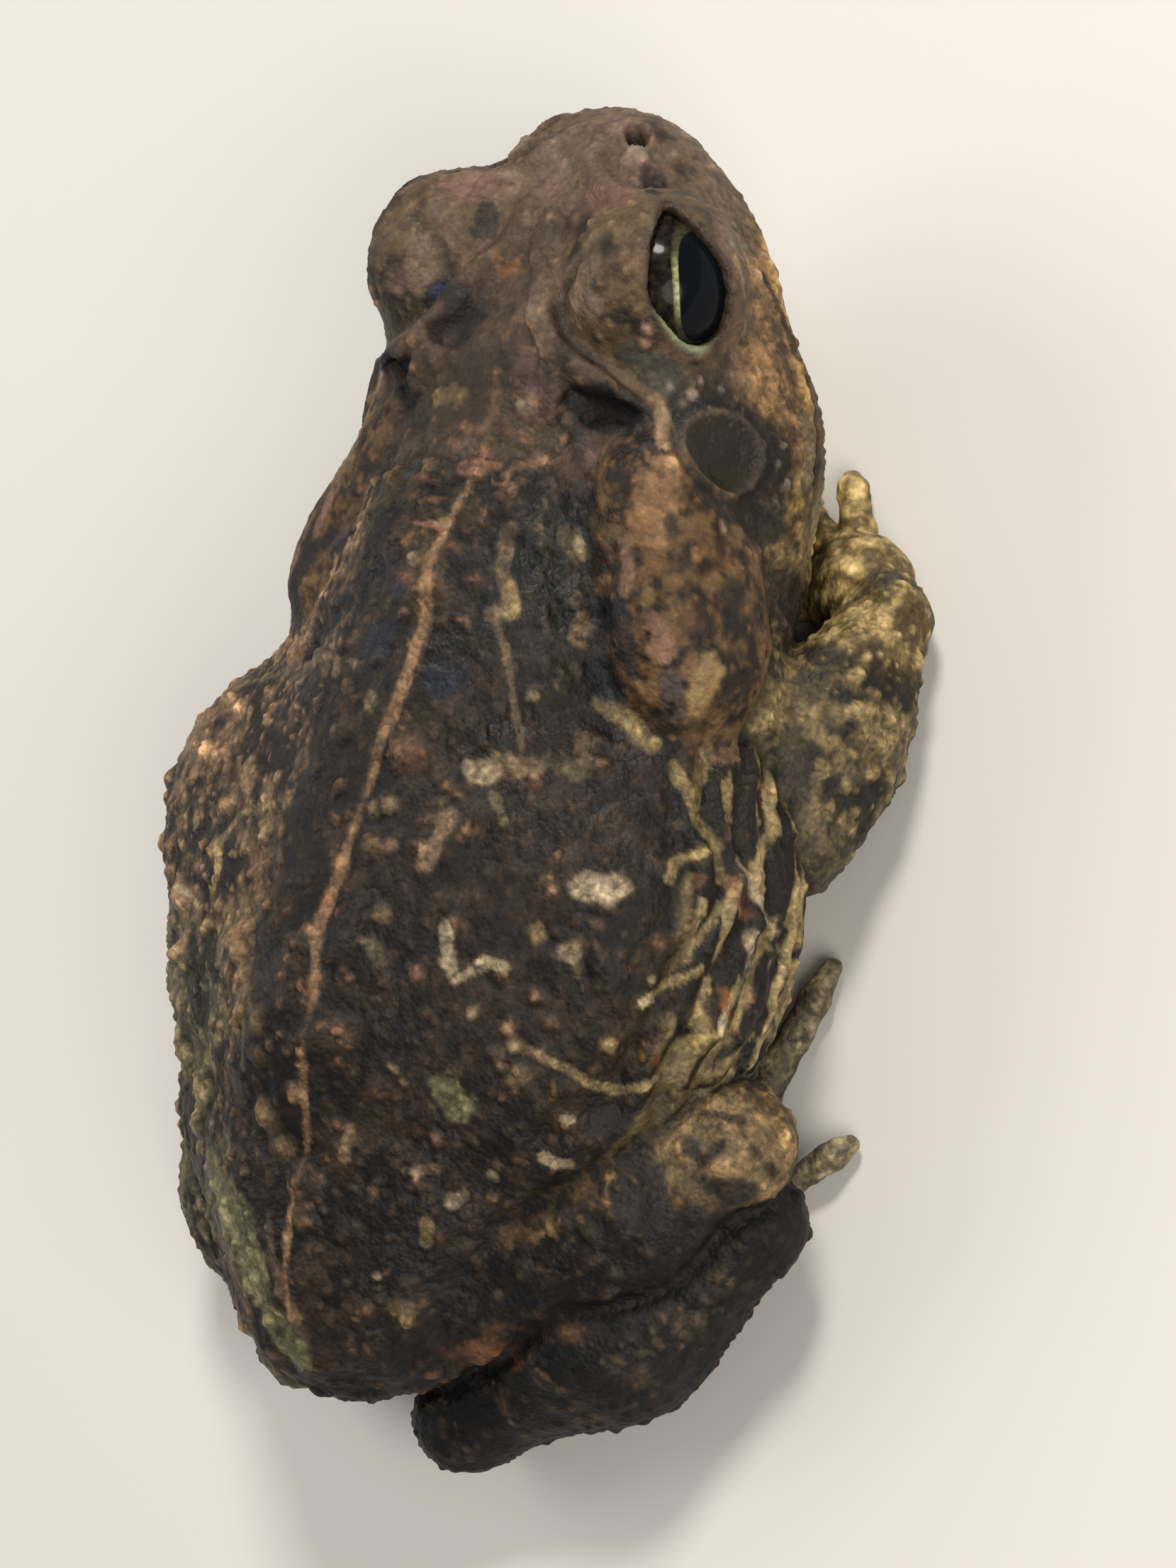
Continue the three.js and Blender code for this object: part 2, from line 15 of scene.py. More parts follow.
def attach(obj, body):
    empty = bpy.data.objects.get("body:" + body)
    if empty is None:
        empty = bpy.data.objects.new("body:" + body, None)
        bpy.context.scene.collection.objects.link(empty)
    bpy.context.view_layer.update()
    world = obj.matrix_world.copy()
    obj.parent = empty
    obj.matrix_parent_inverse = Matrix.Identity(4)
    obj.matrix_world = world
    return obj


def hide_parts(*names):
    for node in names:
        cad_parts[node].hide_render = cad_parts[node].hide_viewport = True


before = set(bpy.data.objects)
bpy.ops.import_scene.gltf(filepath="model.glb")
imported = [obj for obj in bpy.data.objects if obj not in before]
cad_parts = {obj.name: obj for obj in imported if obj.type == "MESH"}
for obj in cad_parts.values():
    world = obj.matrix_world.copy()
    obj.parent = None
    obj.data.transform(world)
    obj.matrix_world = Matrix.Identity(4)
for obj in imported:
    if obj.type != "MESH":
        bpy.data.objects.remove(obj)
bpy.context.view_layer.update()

# Sizes shared with the solids, in millimetres
EYE_RADIUS = 5.7
EYE_OUT, EYE_FORWARD, EYE_UP = 10.1, 36.0, 28.0
EYE_TILT = math.radians(25)
UPPER_LID_ANGLE = math.radians(62)
LOWER_LID_ANGLE = math.radians(-4)
OPENING_HEIGHT = 0.5
# How far outside and inside the eyeball's surface the opening is cut
CUT_OUTER, CUT_INNER = 2.6, 0.5
# The edge of the opening between the lids, ahead and across, as shares of the eye's radius
LID_EDGE = [
    (1, -0.01), (0.63, 0.39), (0.19, 0.58), (-0.25, 0.6), (-0.47, 0.43), (-0.69, 0.25), (-0.82, 0.07),
    (-0.85, -0.12), (-0.77, -0.34), (-0.43, -0.47), (-0.08, -0.47), (0.33, -0.34), (0.53, -0.21),
    (0.75, -0.1),
]
LID_THICKNESS = 0.8
# The eyeball's cornea and pupil, as shares of its radius, and how far it lies inside its socket
CORNEA_RISE = 0.03
EYE_GAP = 0.06
PUPIL_LIFT = math.radians(14)
PUPIL_LENGTH, PUPIL_HEIGHT = 0.68, 0.44
PUPIL_SQUARENESS = 2.3
EAR_OUT, EAR_FORWARD, EAR_UP = 16.8, 25.2, 23.9
EAR_HEIGHT = 7.0
EAR_LENGTH = 5.6
LEFT_SHOULDER_IN = 3.0
LEFT_FOOT_IN = 3.0
NOSTRIL_OUT, NOSTRIL_FORWARD, NOSTRIL_UP = 4.0, 46.6, 27.4
MOUTH_FRONT, MOUTH_FRONT_UP = 49.0, 18.4
MOUTH_CORNER, MOUTH_CORNER_UP = 26.5, 13.6
CREST_RADIUS = 0.95
LIP_RADIUS = 0.7
LIP_SUNK = 0.35
LIP_STEPS = 41
JAW_MIDDLE, JAW_REACH = 31.0, 17.0
BLEND = 5.0
SOFT_BLEND = 8.0
LIMB_BLEND = 1.6

# The right side and the left
SIDES = (1, -1)
PER_METRE = 1000

# The lattice on which the skin is shaped
PITCH = 0.28
LOW = np.array([-34.0, -54.5, -1.5])
HIGH = np.array([31.5, 57.0, 37.5])
OUTSIDE = 3.0


def at(right, forward, up):
    """A place on the animal, given to its right, forward and up."""
    return np.array([-right, -forward, up], float)


def traced(line, side=1):
    """The places of a line, given to the right, forward and up, or of its mirror image on the left."""
    return [at(right * side, forward, up) for right, forward, up in line]


def mix(a, b, share):
    return a + (b - a) * share


def smooth(low, high, value):
    """Rises from 0 to 1 as value goes from low to high, or falls where low is the larger."""
    share = np.clip((value - low) / (high - low), 0, 1)
    return share * share * (3 - 2 * share)


# Rounded forms, each of which tells how far a point lies outside it


class Form:
    """How far points lie outside it, the box round it, and how softly it joins what is there."""

    def __init__(self, distance, low, high, blend):
        self.distance = distance
        self.low = low
        self.high = high
        self.blend = blend


def ball(centre, rx, ry, rz, blend=BLEND):
    radii = np.array([rx, ry, rz], float)

    def distance(x, y, z):
        x, y, z = (x - centre[0]) / rx, (y - centre[1]) / ry, (z - centre[2]) / rz
        near = np.sqrt(x * x + y * y + z * z)
        slope = np.sqrt((x / rx) ** 2 + (y / ry) ** 2 + (z / rz) ** 2) + 1e-6
        return near * (near - 1) / slope

    return Form(distance, centre - radii, centre + radii, blend)


def pair_of_balls(out, forward, up, *size):
    return [ball(at(out * side, forward, up), *size) for side in SIDES]


def rod(start, end, start_radius, end_radius, blend=BLEND):
    axis = end - start
    square = float(axis @ axis)
    radius = max(start_radius, end_radius)

    def distance(x, y, z):
        x, y, z = x - start[0], y - start[1], z - start[2]
        share = np.clip((x * axis[0] + y * axis[1] + z * axis[2]) / square, 0, 1)
        x, y, z = x - axis[0] * share, y - axis[1] * share, z - axis[2] * share
        return np.sqrt(x * x + y * y + z * z) - start_radius - (end_radius - start_radius) * share

    low = np.minimum(start, end) - radius
    high = np.maximum(start, end) + radius
    return Form(distance, low, high, blend)


def chain(places, radii, blend):
    """Rods joined end to end."""
    pairs = zip(places[:-1], places[1:], radii[:-1], radii[1:])
    return [rod(a, b, ra, rb, blend) for a, b, ra, rb in pairs]


def union(total, distance, blend):
    share = np.maximum(blend - np.abs(total - distance), 0) / blend
    return np.minimum(total, distance) - share * share * blend / 4


def distance_to(forms, p):
    """How far points lie outside a set of forms."""
    x, y, z = p[:, 0], p[:, 1], p[:, 2]
    total = forms[0].distance(x, y, z)
    for form in forms[1:]:
        total = union(total, form.distance(x, y, z), form.blend)
    return total


# The animal's forms, the same as those of the solids

NECK_FORMS = [
    rod(at(0, 24, 21.6), at(0, 10, 20), 9.4, 11.4, SOFT_BLEND),
    ball(at(0, 18, 14.5), 17, 12, 11.5, SOFT_BLEND),
    ball(at(0, 9, 14.5), 17.6, 20, 14),
    rod(at(0, 15, 25), at(0, -22, 26.5), 5.6, 5.6, SOFT_BLEND),
]

HEAD_FORMS = [
    ball(at(0, 32, 22), 12.4, 13, 9),
    *pair_of_balls(11, 25.5, 22, 5.6, 7, 6, 3),
    ball(at(0, 42.5, 23), 8.9, 7.6, 6.4),
    *pair_of_balls(6.9, 29.5, 19.5, 8.9, 11.3, 5.4),
    *pair_of_balls(3.6, 35.9, 19, 6.6, 7.7, 4.5),
    *pair_of_balls(8.4, 35.2, 27, 6.3, 7.8, 5.9, 3),
    ball(at(0, 32.7, 16.2), 11, 13.7, 5.6),
    *pair_of_balls(7.5, 26, 14.6, 10.5, 9.2, 6),
    ball(at(0, 27, 12.6), 12, 11.3, 6.4, SOFT_BLEND),
]

TORSO_FORMS = [
    ball(at(0, -11, 14.6), 26.6, 29, 17.6),
    ball(at(0, -34, 15), 14, 16.4, 12.5),
    ball(at(-19, -8, 17), 8.6, 10, 9),
]


def gland_forms(side):
    drawn_in = 0 if side > 0 else LEFT_SHOULDER_IN

    def place(out, forward, up):
        return at((out - drawn_in) * side, forward, up)

    return [
        ball(place(12.6, 21.8, 25.8), 3.3, 4.4, 3.8),
        ball(place(15.2, 15.2, 24.5), 4.3, 6.6, 4.1),
        ball(place(17.4, 13, 21), 3.7, 6.2, 4.8),
        ball(place(18.2, 9.4, 21.4), 3.8, 5.2, 4.7),
    ]


def leg_pose(side):
    if side > 0:
        return at(9, -37, 13.5), at(26.2, -23.5, 12), at(27, -28.4, 8.4), at(7, -50.4, 7)
    return at(-9, -37, 13.5), at(-22, -24.4, 10.5), at(-23.8, -29, 7.8), at(-11, -49, 6.4)


def arm_pose(side):
    if side > 0:
        return at(15, 10, 16.5), at(21.4, 0.2, 8), at(22.8, 18.6, 4.4)
    return at(-15, 10, 16.5), at(-24, 0.5, 8.5), at(-22.8, 18.6, 4)


def thigh_forms(side):
    hip, knee, _, _ = leg_pose(side)
    return [rod(hip, knee, 8, 5.2), ball(mix(hip, knee, 0.5), 8, 8, 6.4)]


def shank_forms(side):
    _, _, bend, heel = leg_pose(side)
    calf = mix(bend, heel, 0.45)
    thickness = 7.2 if side > 0 else 6.4
    return [rod(bend, calf, 4.8, thickness), rod(calf, heel, thickness, 4)]


def arm_forms(side):
    shoulder, elbow, wrist = arm_pose(side)
    upper = rod(shoulder, elbow, 6, 4.4)
    lower = rod(elbow, wrist, 4.6, 3.4, LIMB_BLEND)
    return [upper, lower, ball(mix(elbow, wrist, 0.45), 5.4, 9, 6.4, 2.5)]


def digit(base, tip, thickness, rise):
    """A finger or toe: thicker at its joints than between them, with a rounded pad at its tip."""
    middle = mix(base, tip, 0.5) + np.array([0, 0, rise])
    radius = thickness / 2
    places = []
    for share in np.linspace(0, 1, 9):
        early = mix(base, middle, share)
        late = mix(middle, tip, share)
        places.append(mix(early, late, share))
    radii = [radius * size for size in (1.05, 1.0, 0.92, 0.9, 1.02, 0.84, 0.8, 0.9, 0.62)]
    return chain(places, radii, 0.6)


def hand_forms(side):
    palm_right, palm_forward = 19.0, 20.6
    wrist = at(22 * side, 18.2, 3.6)
    forms = [
        rod(wrist, at(palm_right * side, palm_forward, 2.6), 3.2, 3.4, 2),
        ball(at((palm_right - 1.2) * side, palm_forward, 2.2), 4.2, 4.4, 2.6, 2),
    ]
    for angle, length, start in ((30, 10, 1.4), (56, 11.5, 1), (82, 9, 1), (108, 8.5, 0.8)):
        turn = math.radians(angle)

        def place(reach, up):
            right = (palm_right - math.sin(turn) * reach) * side
            return at(right, palm_forward + math.cos(turn) * reach, up)

        forms += digit(place(start, 2), place(length, 1.2), 2.6, 0.6)
    return forms


# The toes, each from its base to its tip
TOES = [
    ((16.2, -32.5, 1.8), (15.6, -26, 1.1)),
    ((17.2, -31, 1.8), (18.2, -21.5, 1.1)),
    ((18.2, -30.5, 1.9), (21.4, -15.5, 1.2)),
    ((19.4, -31, 1.9), (24.4, -8.4, 1.2)),
    ((20.2, -32, 1.9), (30, -21, 1.2)),
]


def foot_forms(side):
    tucked = 0 if side > 0 else LEFT_FOOT_IN

    def place(right, forward, up):
        return at((right - tucked) * side, forward, up)

    heel = leg_pose(side)[3]
    low = np.array([heel[0], heel[1], 3.4])
    forms = [rod(low, place(16.8, -36.5, 2.8), 3, 2.9, 2), ball(place(18, -33, 2.4), 3.8, 5, 2.3, 2)]
    toes = [(place(*base), place(*tip)) for base, tip in TOES]
    for base, tip in toes:
        forms += digit(base, tip, 2.6, 0.3)
    # The web reaches about halfway along the toes, and is drawn as thin rods laid side by side
    for (base, tip), (next_base, next_tip) in zip(toes[:-1], toes[1:]):
        for share in np.linspace(0, 0.4, 7):
            start = mix(base, tip, share)
            end = mix(next_base, next_tip, share * 0.85)
            start[2] = end[2] = 1.05
            forms.append(rod(start, end, 0.55, 0.55, 0.8))
    return forms


GLANDS, ARMS, THIGHS, SHANKS, HANDS, FEET = (
    {side: make(side) for side in SIDES}
    for make in (gland_forms, arm_forms, thigh_forms, shank_forms, hand_forms, foot_forms))


# The lattice


class Lattice:
    def __init__(self):
        self.axes = [np.arange(LOW[i], HIGH[i], PITCH, dtype=np.float32) for i in range(3)]
        self.field = np.full([len(axis) for axis in self.axes], OUTSIDE, np.float32)

    def window(self, low, high):
        spans = []
        for axis, first, last in zip(self.axes, low, high):
            spans.append(slice(*np.searchsorted(axis, (first, last))))
        spans = tuple(spans)
        return spans, np.ix_(*(axis[span] for axis, span in zip(self.axes, spans)))

    def add(self, form, blend=None):
        blend = blend or form.blend
        reach = blend + 1.5
        spans, (x, y, z) = self.window(form.low - reach, form.high + reach)
        part = self.field[spans]
        part[...] = union(part, form.distance(x, y, z).astype(np.float32), blend)

    def add_group(self, forms, blend):
        """Joins forms with each other first, and then with what is there."""
        reach = blend + 1.5
        low = np.min([form.low for form in forms], axis=0) - reach
        high = np.max([form.high for form in forms], axis=0) + reach
        spans, (x, y, z) = self.window(low, high)
        total = forms[0].distance(x, y, z).astype(np.float32)
        for form in forms[1:]:
            total = union(total, form.distance(x, y, z).astype(np.float32), form.blend)
        part = self.field[spans]
        part[...] = union(part, total, blend)

    def sample(self, p):
        """The field at points between the lattice's own."""
        place = (p - LOW) / PITCH
        last = np.array(self.field.shape) - 2
        cell = np.clip(np.floor(place).astype(int), 0, last)
        fx, fy, fz = (place - cell).T
        i, j, k = cell.T
        field = self.field
        corners = [field[i + a, j + b, k + c] for a in (0, 1) for b in (0, 1) for c in (0, 1)]

        def blend(values, shares):
            while len(shares):
                half = len(values) // 2
                values = [mix(a, b, shares[0]) for a, b in zip(values[:half], values[half:])]
                shares = shares[1:]
            return values[0]

        return blend(corners, (fx, fy, fz))

    def slope(self, p, step=0.5):
        parts = []
        for axis in range(3):
            offset = np.zeros(3)
            offset[axis] = step
            parts.append(self.sample(p + offset) - self.sample(p - offset))
        normal = np.stack(parts, 1)
        return normal / (np.linalg.norm(normal, axis=1, keepdims=True) + 1e-9)


# Eyes and their lids


class Eye:
    """An eye's centre and its own directions: out of the head, ahead along the opening, and across it."""

    def __init__(self, side):
        self.side = side
        self.centre = at(EYE_OUT * side, EYE_FORWARD, EYE_UP)
        self.out, self.ahead, self.rise = self.directions((UPPER_LID_ANGLE + LOWER_LID_ANGLE) / 2)
        self.turns = np.linspace(-math.pi, math.pi, 120, endpoint=False)
        ahead, rise = np.array(LID_EDGE).T
        reach = np.interp(self.turns, np.arctan2(rise, ahead), np.hypot(rise, ahead), period=2 * math.pi)
        self.reach = np.mean([np.roll(reach, step) for step in (-2, -1, 0, 1, 2)], axis=0)

    def directions(self, lift):
        """Out at an angle above the level, and the two ways across that, tilted as the opening is."""
        out = at(self.side * math.cos(lift), 0, math.sin(lift))
        rise = at(-self.side * math.sin(lift), 0, math.cos(lift))
        forward = at(0, 1, 0)
        ahead = forward * math.cos(EYE_TILT) + rise * math.sin(EYE_TILT)
        return out, ahead, rise * math.cos(EYE_TILT) - forward * math.sin(EYE_TILT)

    def opening(self, p):
        """1 on the edge of the opening between the lids, less inside it and more outside it."""
        q = (p - self.centre) / EYE_RADIUS
        ahead, rise = q @ self.ahead, q @ self.rise
        edge = np.interp(np.arctan2(rise, ahead), self.turns, self.reach, period=2 * math.pi)
        inward = smooth(0.2, -0.2, q @ self.out) * 3
        return np.hypot(ahead, rise) / edge + inward


EYES = {side: Eye(side) for side in SIDES}

# How the head's surface is found: from outside, in steps that stop short of it
REACH_START = 40.0
REACH_STEPS = 60
REACH_CAUTION = 0.8


def reach_of_head(root, ray, rise):
    """How far along a ray from inside the head its surface lies, or a level that rises above it."""
    reach = REACH_START
    for _ in range(REACH_STEPS):
        place = root + ray * reach
        reach -= REACH_CAUTION * (float(distance_to(HEAD_FORMS + NECK_FORMS, place[None])[0]) - rise)
    return reach


def on_head(place, rise=0.15):
    """A place brought onto the head's surface, out from the line inside it."""
    start, end = at(0, 23, 19), at(0, 40, 21)
    share = np.clip((place - start) @ (end - start) / ((end - start) @ (end - start)), 0, 1)
    root = mix(start, end, share)
    ray = place - root
    ray = ray / np.linalg.norm(ray)
    return root + ray * reach_of_head(root, ray, rise)


def curve(places, count):
    """Points along a smooth line through some places."""
    places = np.array(places)
    ends = np.concatenate([[2 * places[0] - places[1]], places, [2 * places[-1] - places[-2]]])
    points = []
    for t in np.linspace(0, len(places) - 1, count):
        i = min(int(t), len(places) - 2)
        s = t - i
        a, b, c, d = ends[i:i + 4]
        points.append(0.5 * (2 * b + (c - a) * s + (2 * a - 5 * b + 4 * c - d) * s * s
                             + (3 * b - a - 3 * c + d) * s ** 3))
    return points


def ridge(places, radius, count, blend=0.9, rise=0.3):
    line = [on_head(place, rise) for place in curve(places, count)]
    radii = [radius * (0.35 + 0.65 * math.sin(math.pi * t) ** 0.5) for t in np.linspace(0, 1, count)]
    return chain(line, radii, blend)


def crest_forms(side):
    """The ridges from the nostril to the eye, along the inner edge of the lid and round behind it."""
    snout = [(1.9, 45.2, 29), (2.8, 43.2, 29.6), (6, 41.4, 30.9), (8.4, 41, 31)]
    brow = [(1.2, 41, 30.2), (1.4, 37, 30.8), (3.3, 33.8, 32.3), (4.6, 31, 32.6), (6.8, 28.8, 32.4),
            (9.5, 27.6, 31.4), (11.6, 26.9, 30.2), (13.6, 26.4, 29.2)]
    crown = [(6.2, 29.2, 32.4), (5.9, 26.8, 31.6), (6.4, 24.4, 31)]
    forms = []
    for line, share, steps in ((snout, 0.8, 9), (brow, 1, 25), (crown, 0.7, 7)):
        forms += ridge(traced(line, side), CREST_RADIUS * share, steps)
    return forms


def mouth_height(forward):
    run = np.clip((forward - MOUTH_CORNER) / (MOUTH_FRONT - MOUTH_CORNER), 0, 1)
    return MOUTH_CORNER_UP + (MOUTH_FRONT_UP - MOUTH_CORNER_UP) * run ** 0.85


def lip_forms():
    places = []
    for turn in np.radians(np.linspace(-100, 100, LIP_STEPS)):
        forward = JAW_MIDDLE + JAW_REACH * math.cos(turn)
        middle = at(0, JAW_MIDDLE, float(mouth_height(forward)) + LIP_RADIUS)
        ray = at(math.sin(turn), math.cos(turn), 0)
        places.append(middle + ray * (reach_of_head(middle, ray, 0) - LIP_RADIUS * LIP_SUNK))
    shares = np.linspace(0, 1, LIP_STEPS)
    radii = [LIP_RADIUS * (0.4 + 0.6 * math.sin(math.pi * t) ** 0.4) for t in shares]
    return chain(places, radii, 1.2)


def build_lattice():
    clay = Lattice()
    for form in TORSO_FORMS + NECK_FORMS + HEAD_FORMS:
        clay.add(form)
    cover = EYE_RADIUS + LID_THICKNESS
    parts = ((GLANDS, 1.6), (ARMS, 0.9), (HANDS, 1.2), (THIGHS, 0.8), (SHANKS, 0.4), (FEET, 0.6))
    for side in SIDES:
        for forms, blend in parts:
            clay.add_group(forms[side], blend)
        clay.add_group(crest_forms(side), 0.7)
        clay.add(ball(EYES[side].centre, cover, cover, cover, 1.4))
    clay.add_group(lip_forms(), 1.0)
    for side in SIDES:
        cut_opening(clay, EYES[side])
    # The floor presses the underside flat
    floor = clay.axes[2][None, None, :] * np.ones_like(clay.field)
    clay.field = -union(-clay.field, floor, 0.6)
    return clay


def cut_opening(clay, eye):
    """Cuts the opening between the lids down to just under the eyeball's surface."""
    reach = EYE_RADIUS + 3
    spans, (x, y, z) = clay.window(eye.centre - reach, eye.centre + reach)
    shape = np.broadcast_shapes(x.shape, y.shape, z.shape)
    p = np.stack([np.broadcast_to(a, shape).ravel() for a in (x, y, z)], 1).astype(float)
    far = np.linalg.norm(p - eye.centre, axis=1)
    hole = (eye.opening(p) - 1) * EYE_RADIUS * OPENING_HEIGHT
    hole = np.maximum(hole, np.maximum(far - EYE_RADIUS - CUT_OUTER, EYE_RADIUS - CUT_INNER - far))
    part = clay.field[spans]
    part[...] = -union(-part, hole.reshape(shape).astype(np.float32), 0.3)


# Noise and spots, seeded and worked out point by point


def scatter(i, j, k, seed):
    """A number from 0 to 1 for each cell of a lattice, always the same one for the same cell and seed."""
    h = (i * 73856093) ^ (j * 19349663) ^ (k * 83492791) ^ (seed * 40503)
    h = h & 0xffffffff
    h = ((h ^ (h >> 16)) * 0x45d9f3b) & 0xffffffff
    h = ((h ^ (h >> 16)) * 0x45d9f3b) & 0xffffffff
    return ((h ^ (h >> 16)) & 0xffffffff) / 4294967296.0


def noise(p, size, seed):
    """Smooth noise from -1 to 1, with lumps about as wide as size."""
    q = p / size
    cell = np.floor(q).astype(np.int64)
    f = q - cell
    f = f * f * f * (f * (f * 6 - 15) + 10)
    total = np.zeros(len(p))
    for a in (0, 1):
        for b in (0, 1):
            for c in (0, 1):
                weight = np.abs((1 - a - f[:, 0]) * (1 - b - f[:, 1]) * (1 - c - f[:, 2]))
                total += weight * scatter(cell[:, 0] + a, cell[:, 1] + b, cell[:, 2] + c, seed)
    return total * 2 - 1


def rough(p, size, seed, layers=3):
    """Noise of several sizes laid over each other."""
    total = np.zeros(len(p))
    for layer in range(layers):
        total += noise(p, size / 2 ** layer, seed + layer) / 2 ** layer
    return total / 1.6


def spots(p, size, seed, small, large, share=1.0):
    """Round spots strewn at random, at most one per cell of this size, each with its own radius.

    Gives how far each point is from the nearest spot's middle, as a share of the spot's radius,
    then that radius, and a number that differs from spot to spot.
    """
    cell = np.floor(p / size).astype(np.int64)
    near = np.full(len(p), 9.0)
    radius = np.full(len(p), small)
    own = np.zeros(len(p))
    for a in (-1, 0, 1):
        for b in (-1, 0, 1):
            for c in (-1, 0, 1):
                i, j, k = (cell + (a, b, c)).T
                centre = np.stack([i + scatter(i, j, k, seed), j + scatter(i, j, k, seed + 1),
                                   k + scatter(i, j, k, seed + 2)], 1) * size
                kind = scatter(i, j, k, seed + 3)
                r = small + (large - small) * scatter(i, j, k, seed + 4) ** 1.4
                t = np.linalg.norm(p - centre, axis=1) / r
                t = np.where(kind < share, t, 9.0)
                closer = t < near
                near = np.where(closer, t, near)
                radius = np.where(closer, r, radius)
                own = np.where(closer, kind / max(share, 1e-6), own)
    return near, radius, own


def dome(near):
    return np.clip(1 - near * near, 0, 1) ** 1.5


def off_line(p, places):
    """How far points lie from a line through some places."""
    best = np.full(len(p), 99.0)
    for a, b in zip(places[:-1], places[1:]):
        axis = b - a
        share = np.clip((p - a) @ axis / max(axis @ axis, 1e-9), 0, 1)
        best = np.minimum(best, np.linalg.norm(p - a - share[:, None] * axis, axis=1))
    return best


def near_line(p, places, width):
    """1 on a line through some places, and less on either side of it."""
    return np.exp(-(off_line(p, places) / width) ** 2)


# Strews of round bumps: how far apart, a seed, the smallest and largest radius, and how many are there
WARTS = 4.8, 21, 0.9, 2.2, 0.8
TUBERCLES = 2.2, 31, 0.5, 1.05, 0.9
GRANULES = 1.05, 41, 0.3, 0.58, 1.0
PORES = 1.5, 51, 0.24, 0.46, 0.75


# Where things lie on the skin


class Places:
    """The skin's points, with all that the shape and the colours both ask of them."""

    def __init__(self, p):
        self.p = p
        self.right, self.forward, self.up = -p[:, 0], -p[:, 1], p[:, 2]
        body = distance_to(TORSO_FORMS + NECK_FORMS + HEAD_FORMS, p)
        far = [np.minimum(distance_to(forms[1], p), distance_to(forms[-1], p))
               for forms in (ARMS, HANDS, THIGHS, SHANKS, FEET, GLANDS)]
        self.arms, self.hands, self.thighs, self.shanks, self.feet, self.glands = (
            smooth(0.9, 0.1, distance) for distance in far)
        self.limbs = np.max([self.arms, self.hands, self.thighs, self.shanks, self.feet], axis=0)
        self.head = smooth(18, 23, self.forward) * (1 - self.limbs) * (1 - self.glands)
        self.crown = self.head * smooth(22, 26, self.up + 0.5 * np.maximum(self.forward - 38, 0))
        self.trunk = (1 - self.head) * (1 - self.limbs) * (1 - self.glands)
        self.belly = smooth(9, 4.5, self.up + 0.8 * noise(p, 5, 3)) * (1 - self.limbs)
        # Creases, where two parts press together
        arms, _, thighs, shanks, feet, glands = far
        self.creases = np.zeros(len(p))
        for a, b, width in ((arms, body, 1.1), (thighs, body, 1.2), (shanks, body, 1.0),
                            (shanks, thighs, 1.3), (glands, body, 0.5), (arms, glands, 1.1),
                            (feet, body, 0.9), (feet, shanks, 0.9)):
            apart = np.maximum(a, 0) + np.maximum(b, 0) + np.abs(a - b) * 0.5
            self.creases = np.maximum(self.creases, np.exp(-(apart / width) ** 2))
        self.lids = np.zeros(len(p))
        self.rims = np.zeros(len(p))
        for eye in EYES.values():
            from_eye = np.linalg.norm(p - eye.centre, axis=1)
            on_lid = smooth(EYE_RADIUS + 1.9, EYE_RADIUS + 1.1, from_eye)
            self.lids = np.maximum(self.lids, on_lid)
            self.rims = np.maximum(self.rims, on_lid * np.exp(-((eye.opening(p) - 1.04) / 0.055) ** 2))
        self.ears = self.ear_shares()
        self.mouth = self.mouth_line()
        # The bumps aren't quite round
        bent = p + 0.3 * np.stack([noise(p, 1.5, 15 + axis) for axis in range(3)], 1)
        self.warts = spots(bent, *WARTS)
        self.tubercles = spots(bent, *TUBERCLES)
        self.granules = spots(bent, *GRANULES)
        self.pores = spots(p, *PORES)

    def ear_shares(self):
        """How far each point is from the middle of its ear drum, as a share of the drum's own size."""
        best = np.full(len(self.p), 9.0)
        for side in SIDES:
            centre = on_head(at(EAR_OUT * side, EAR_FORWARD, EAR_UP))
            q = self.p - centre
            along = q[:, 1] / (EAR_LENGTH / 2)
            across = np.hypot(q[:, 0], q[:, 2]) / (EAR_HEIGHT / 2)
            best = np.minimum(best, np.hypot(along, across))
        return best

    def mouth_line(self):
        """How near each point is to the line of the mouth."""
        drop = self.up - mouth_height(self.forward)
        in_front = smooth(MOUTH_CORNER - 1.5, MOUTH_CORNER + 0.5, self.forward)
        corner = np.hypot(self.forward - MOUTH_CORNER + 1, self.up - MOUTH_CORNER_UP + 1.2)
        behind = np.exp(-(corner / 1.3) ** 2) * (np.abs(self.right) > 12)
        return np.maximum(np.exp(-(drop / 0.42) ** 2) * in_front, behind * 0.8) * (1 - self.limbs)

    def flank(self):
        """How far down from the crown of the back, how far round, and where the flanks are."""
        out = np.hypot(np.abs(self.right) - 3, (self.forward + 3) * 0.92)
        turn = np.arctan2(-(self.forward + 3), np.abs(self.right) - 3)
        down = np.arctan2(out * 0.75, self.up - 14.6) * 20
        mask = smooth(18, 22, down) * smooth(41, 35, down)
        mask = mask * smooth(-0.7, -0.3, turn) * smooth(1.2, 0.9, turn)
        left = np.where(self.right > 0, 1, smooth(24, 18, self.up) * 0.6)
        return down, turn, mask * self.trunk * left

    def near(self, places, reach):
        """Which points lie in a box round some places."""
        low = np.min(places, axis=0) - reach
        high = np.max(places, axis=0) + reach
        return np.flatnonzero(np.all((self.p > low) & (self.p < high), axis=1))

    def patch(self, place, size, stretch=(1, 1, 1), seed=0):
        """A patch with an uneven edge round a place."""
        mask = np.zeros(len(self.p))
        inside = self.near([place], 1.6 * size * max(stretch))
        q = self.p[inside]
        far = np.linalg.norm((q - place) / stretch, axis=1) / size
        mask[inside] = smooth(1.15, 0.8, far + 0.36 * noise(q, size * 0.7, 900 + seed))
        return mask

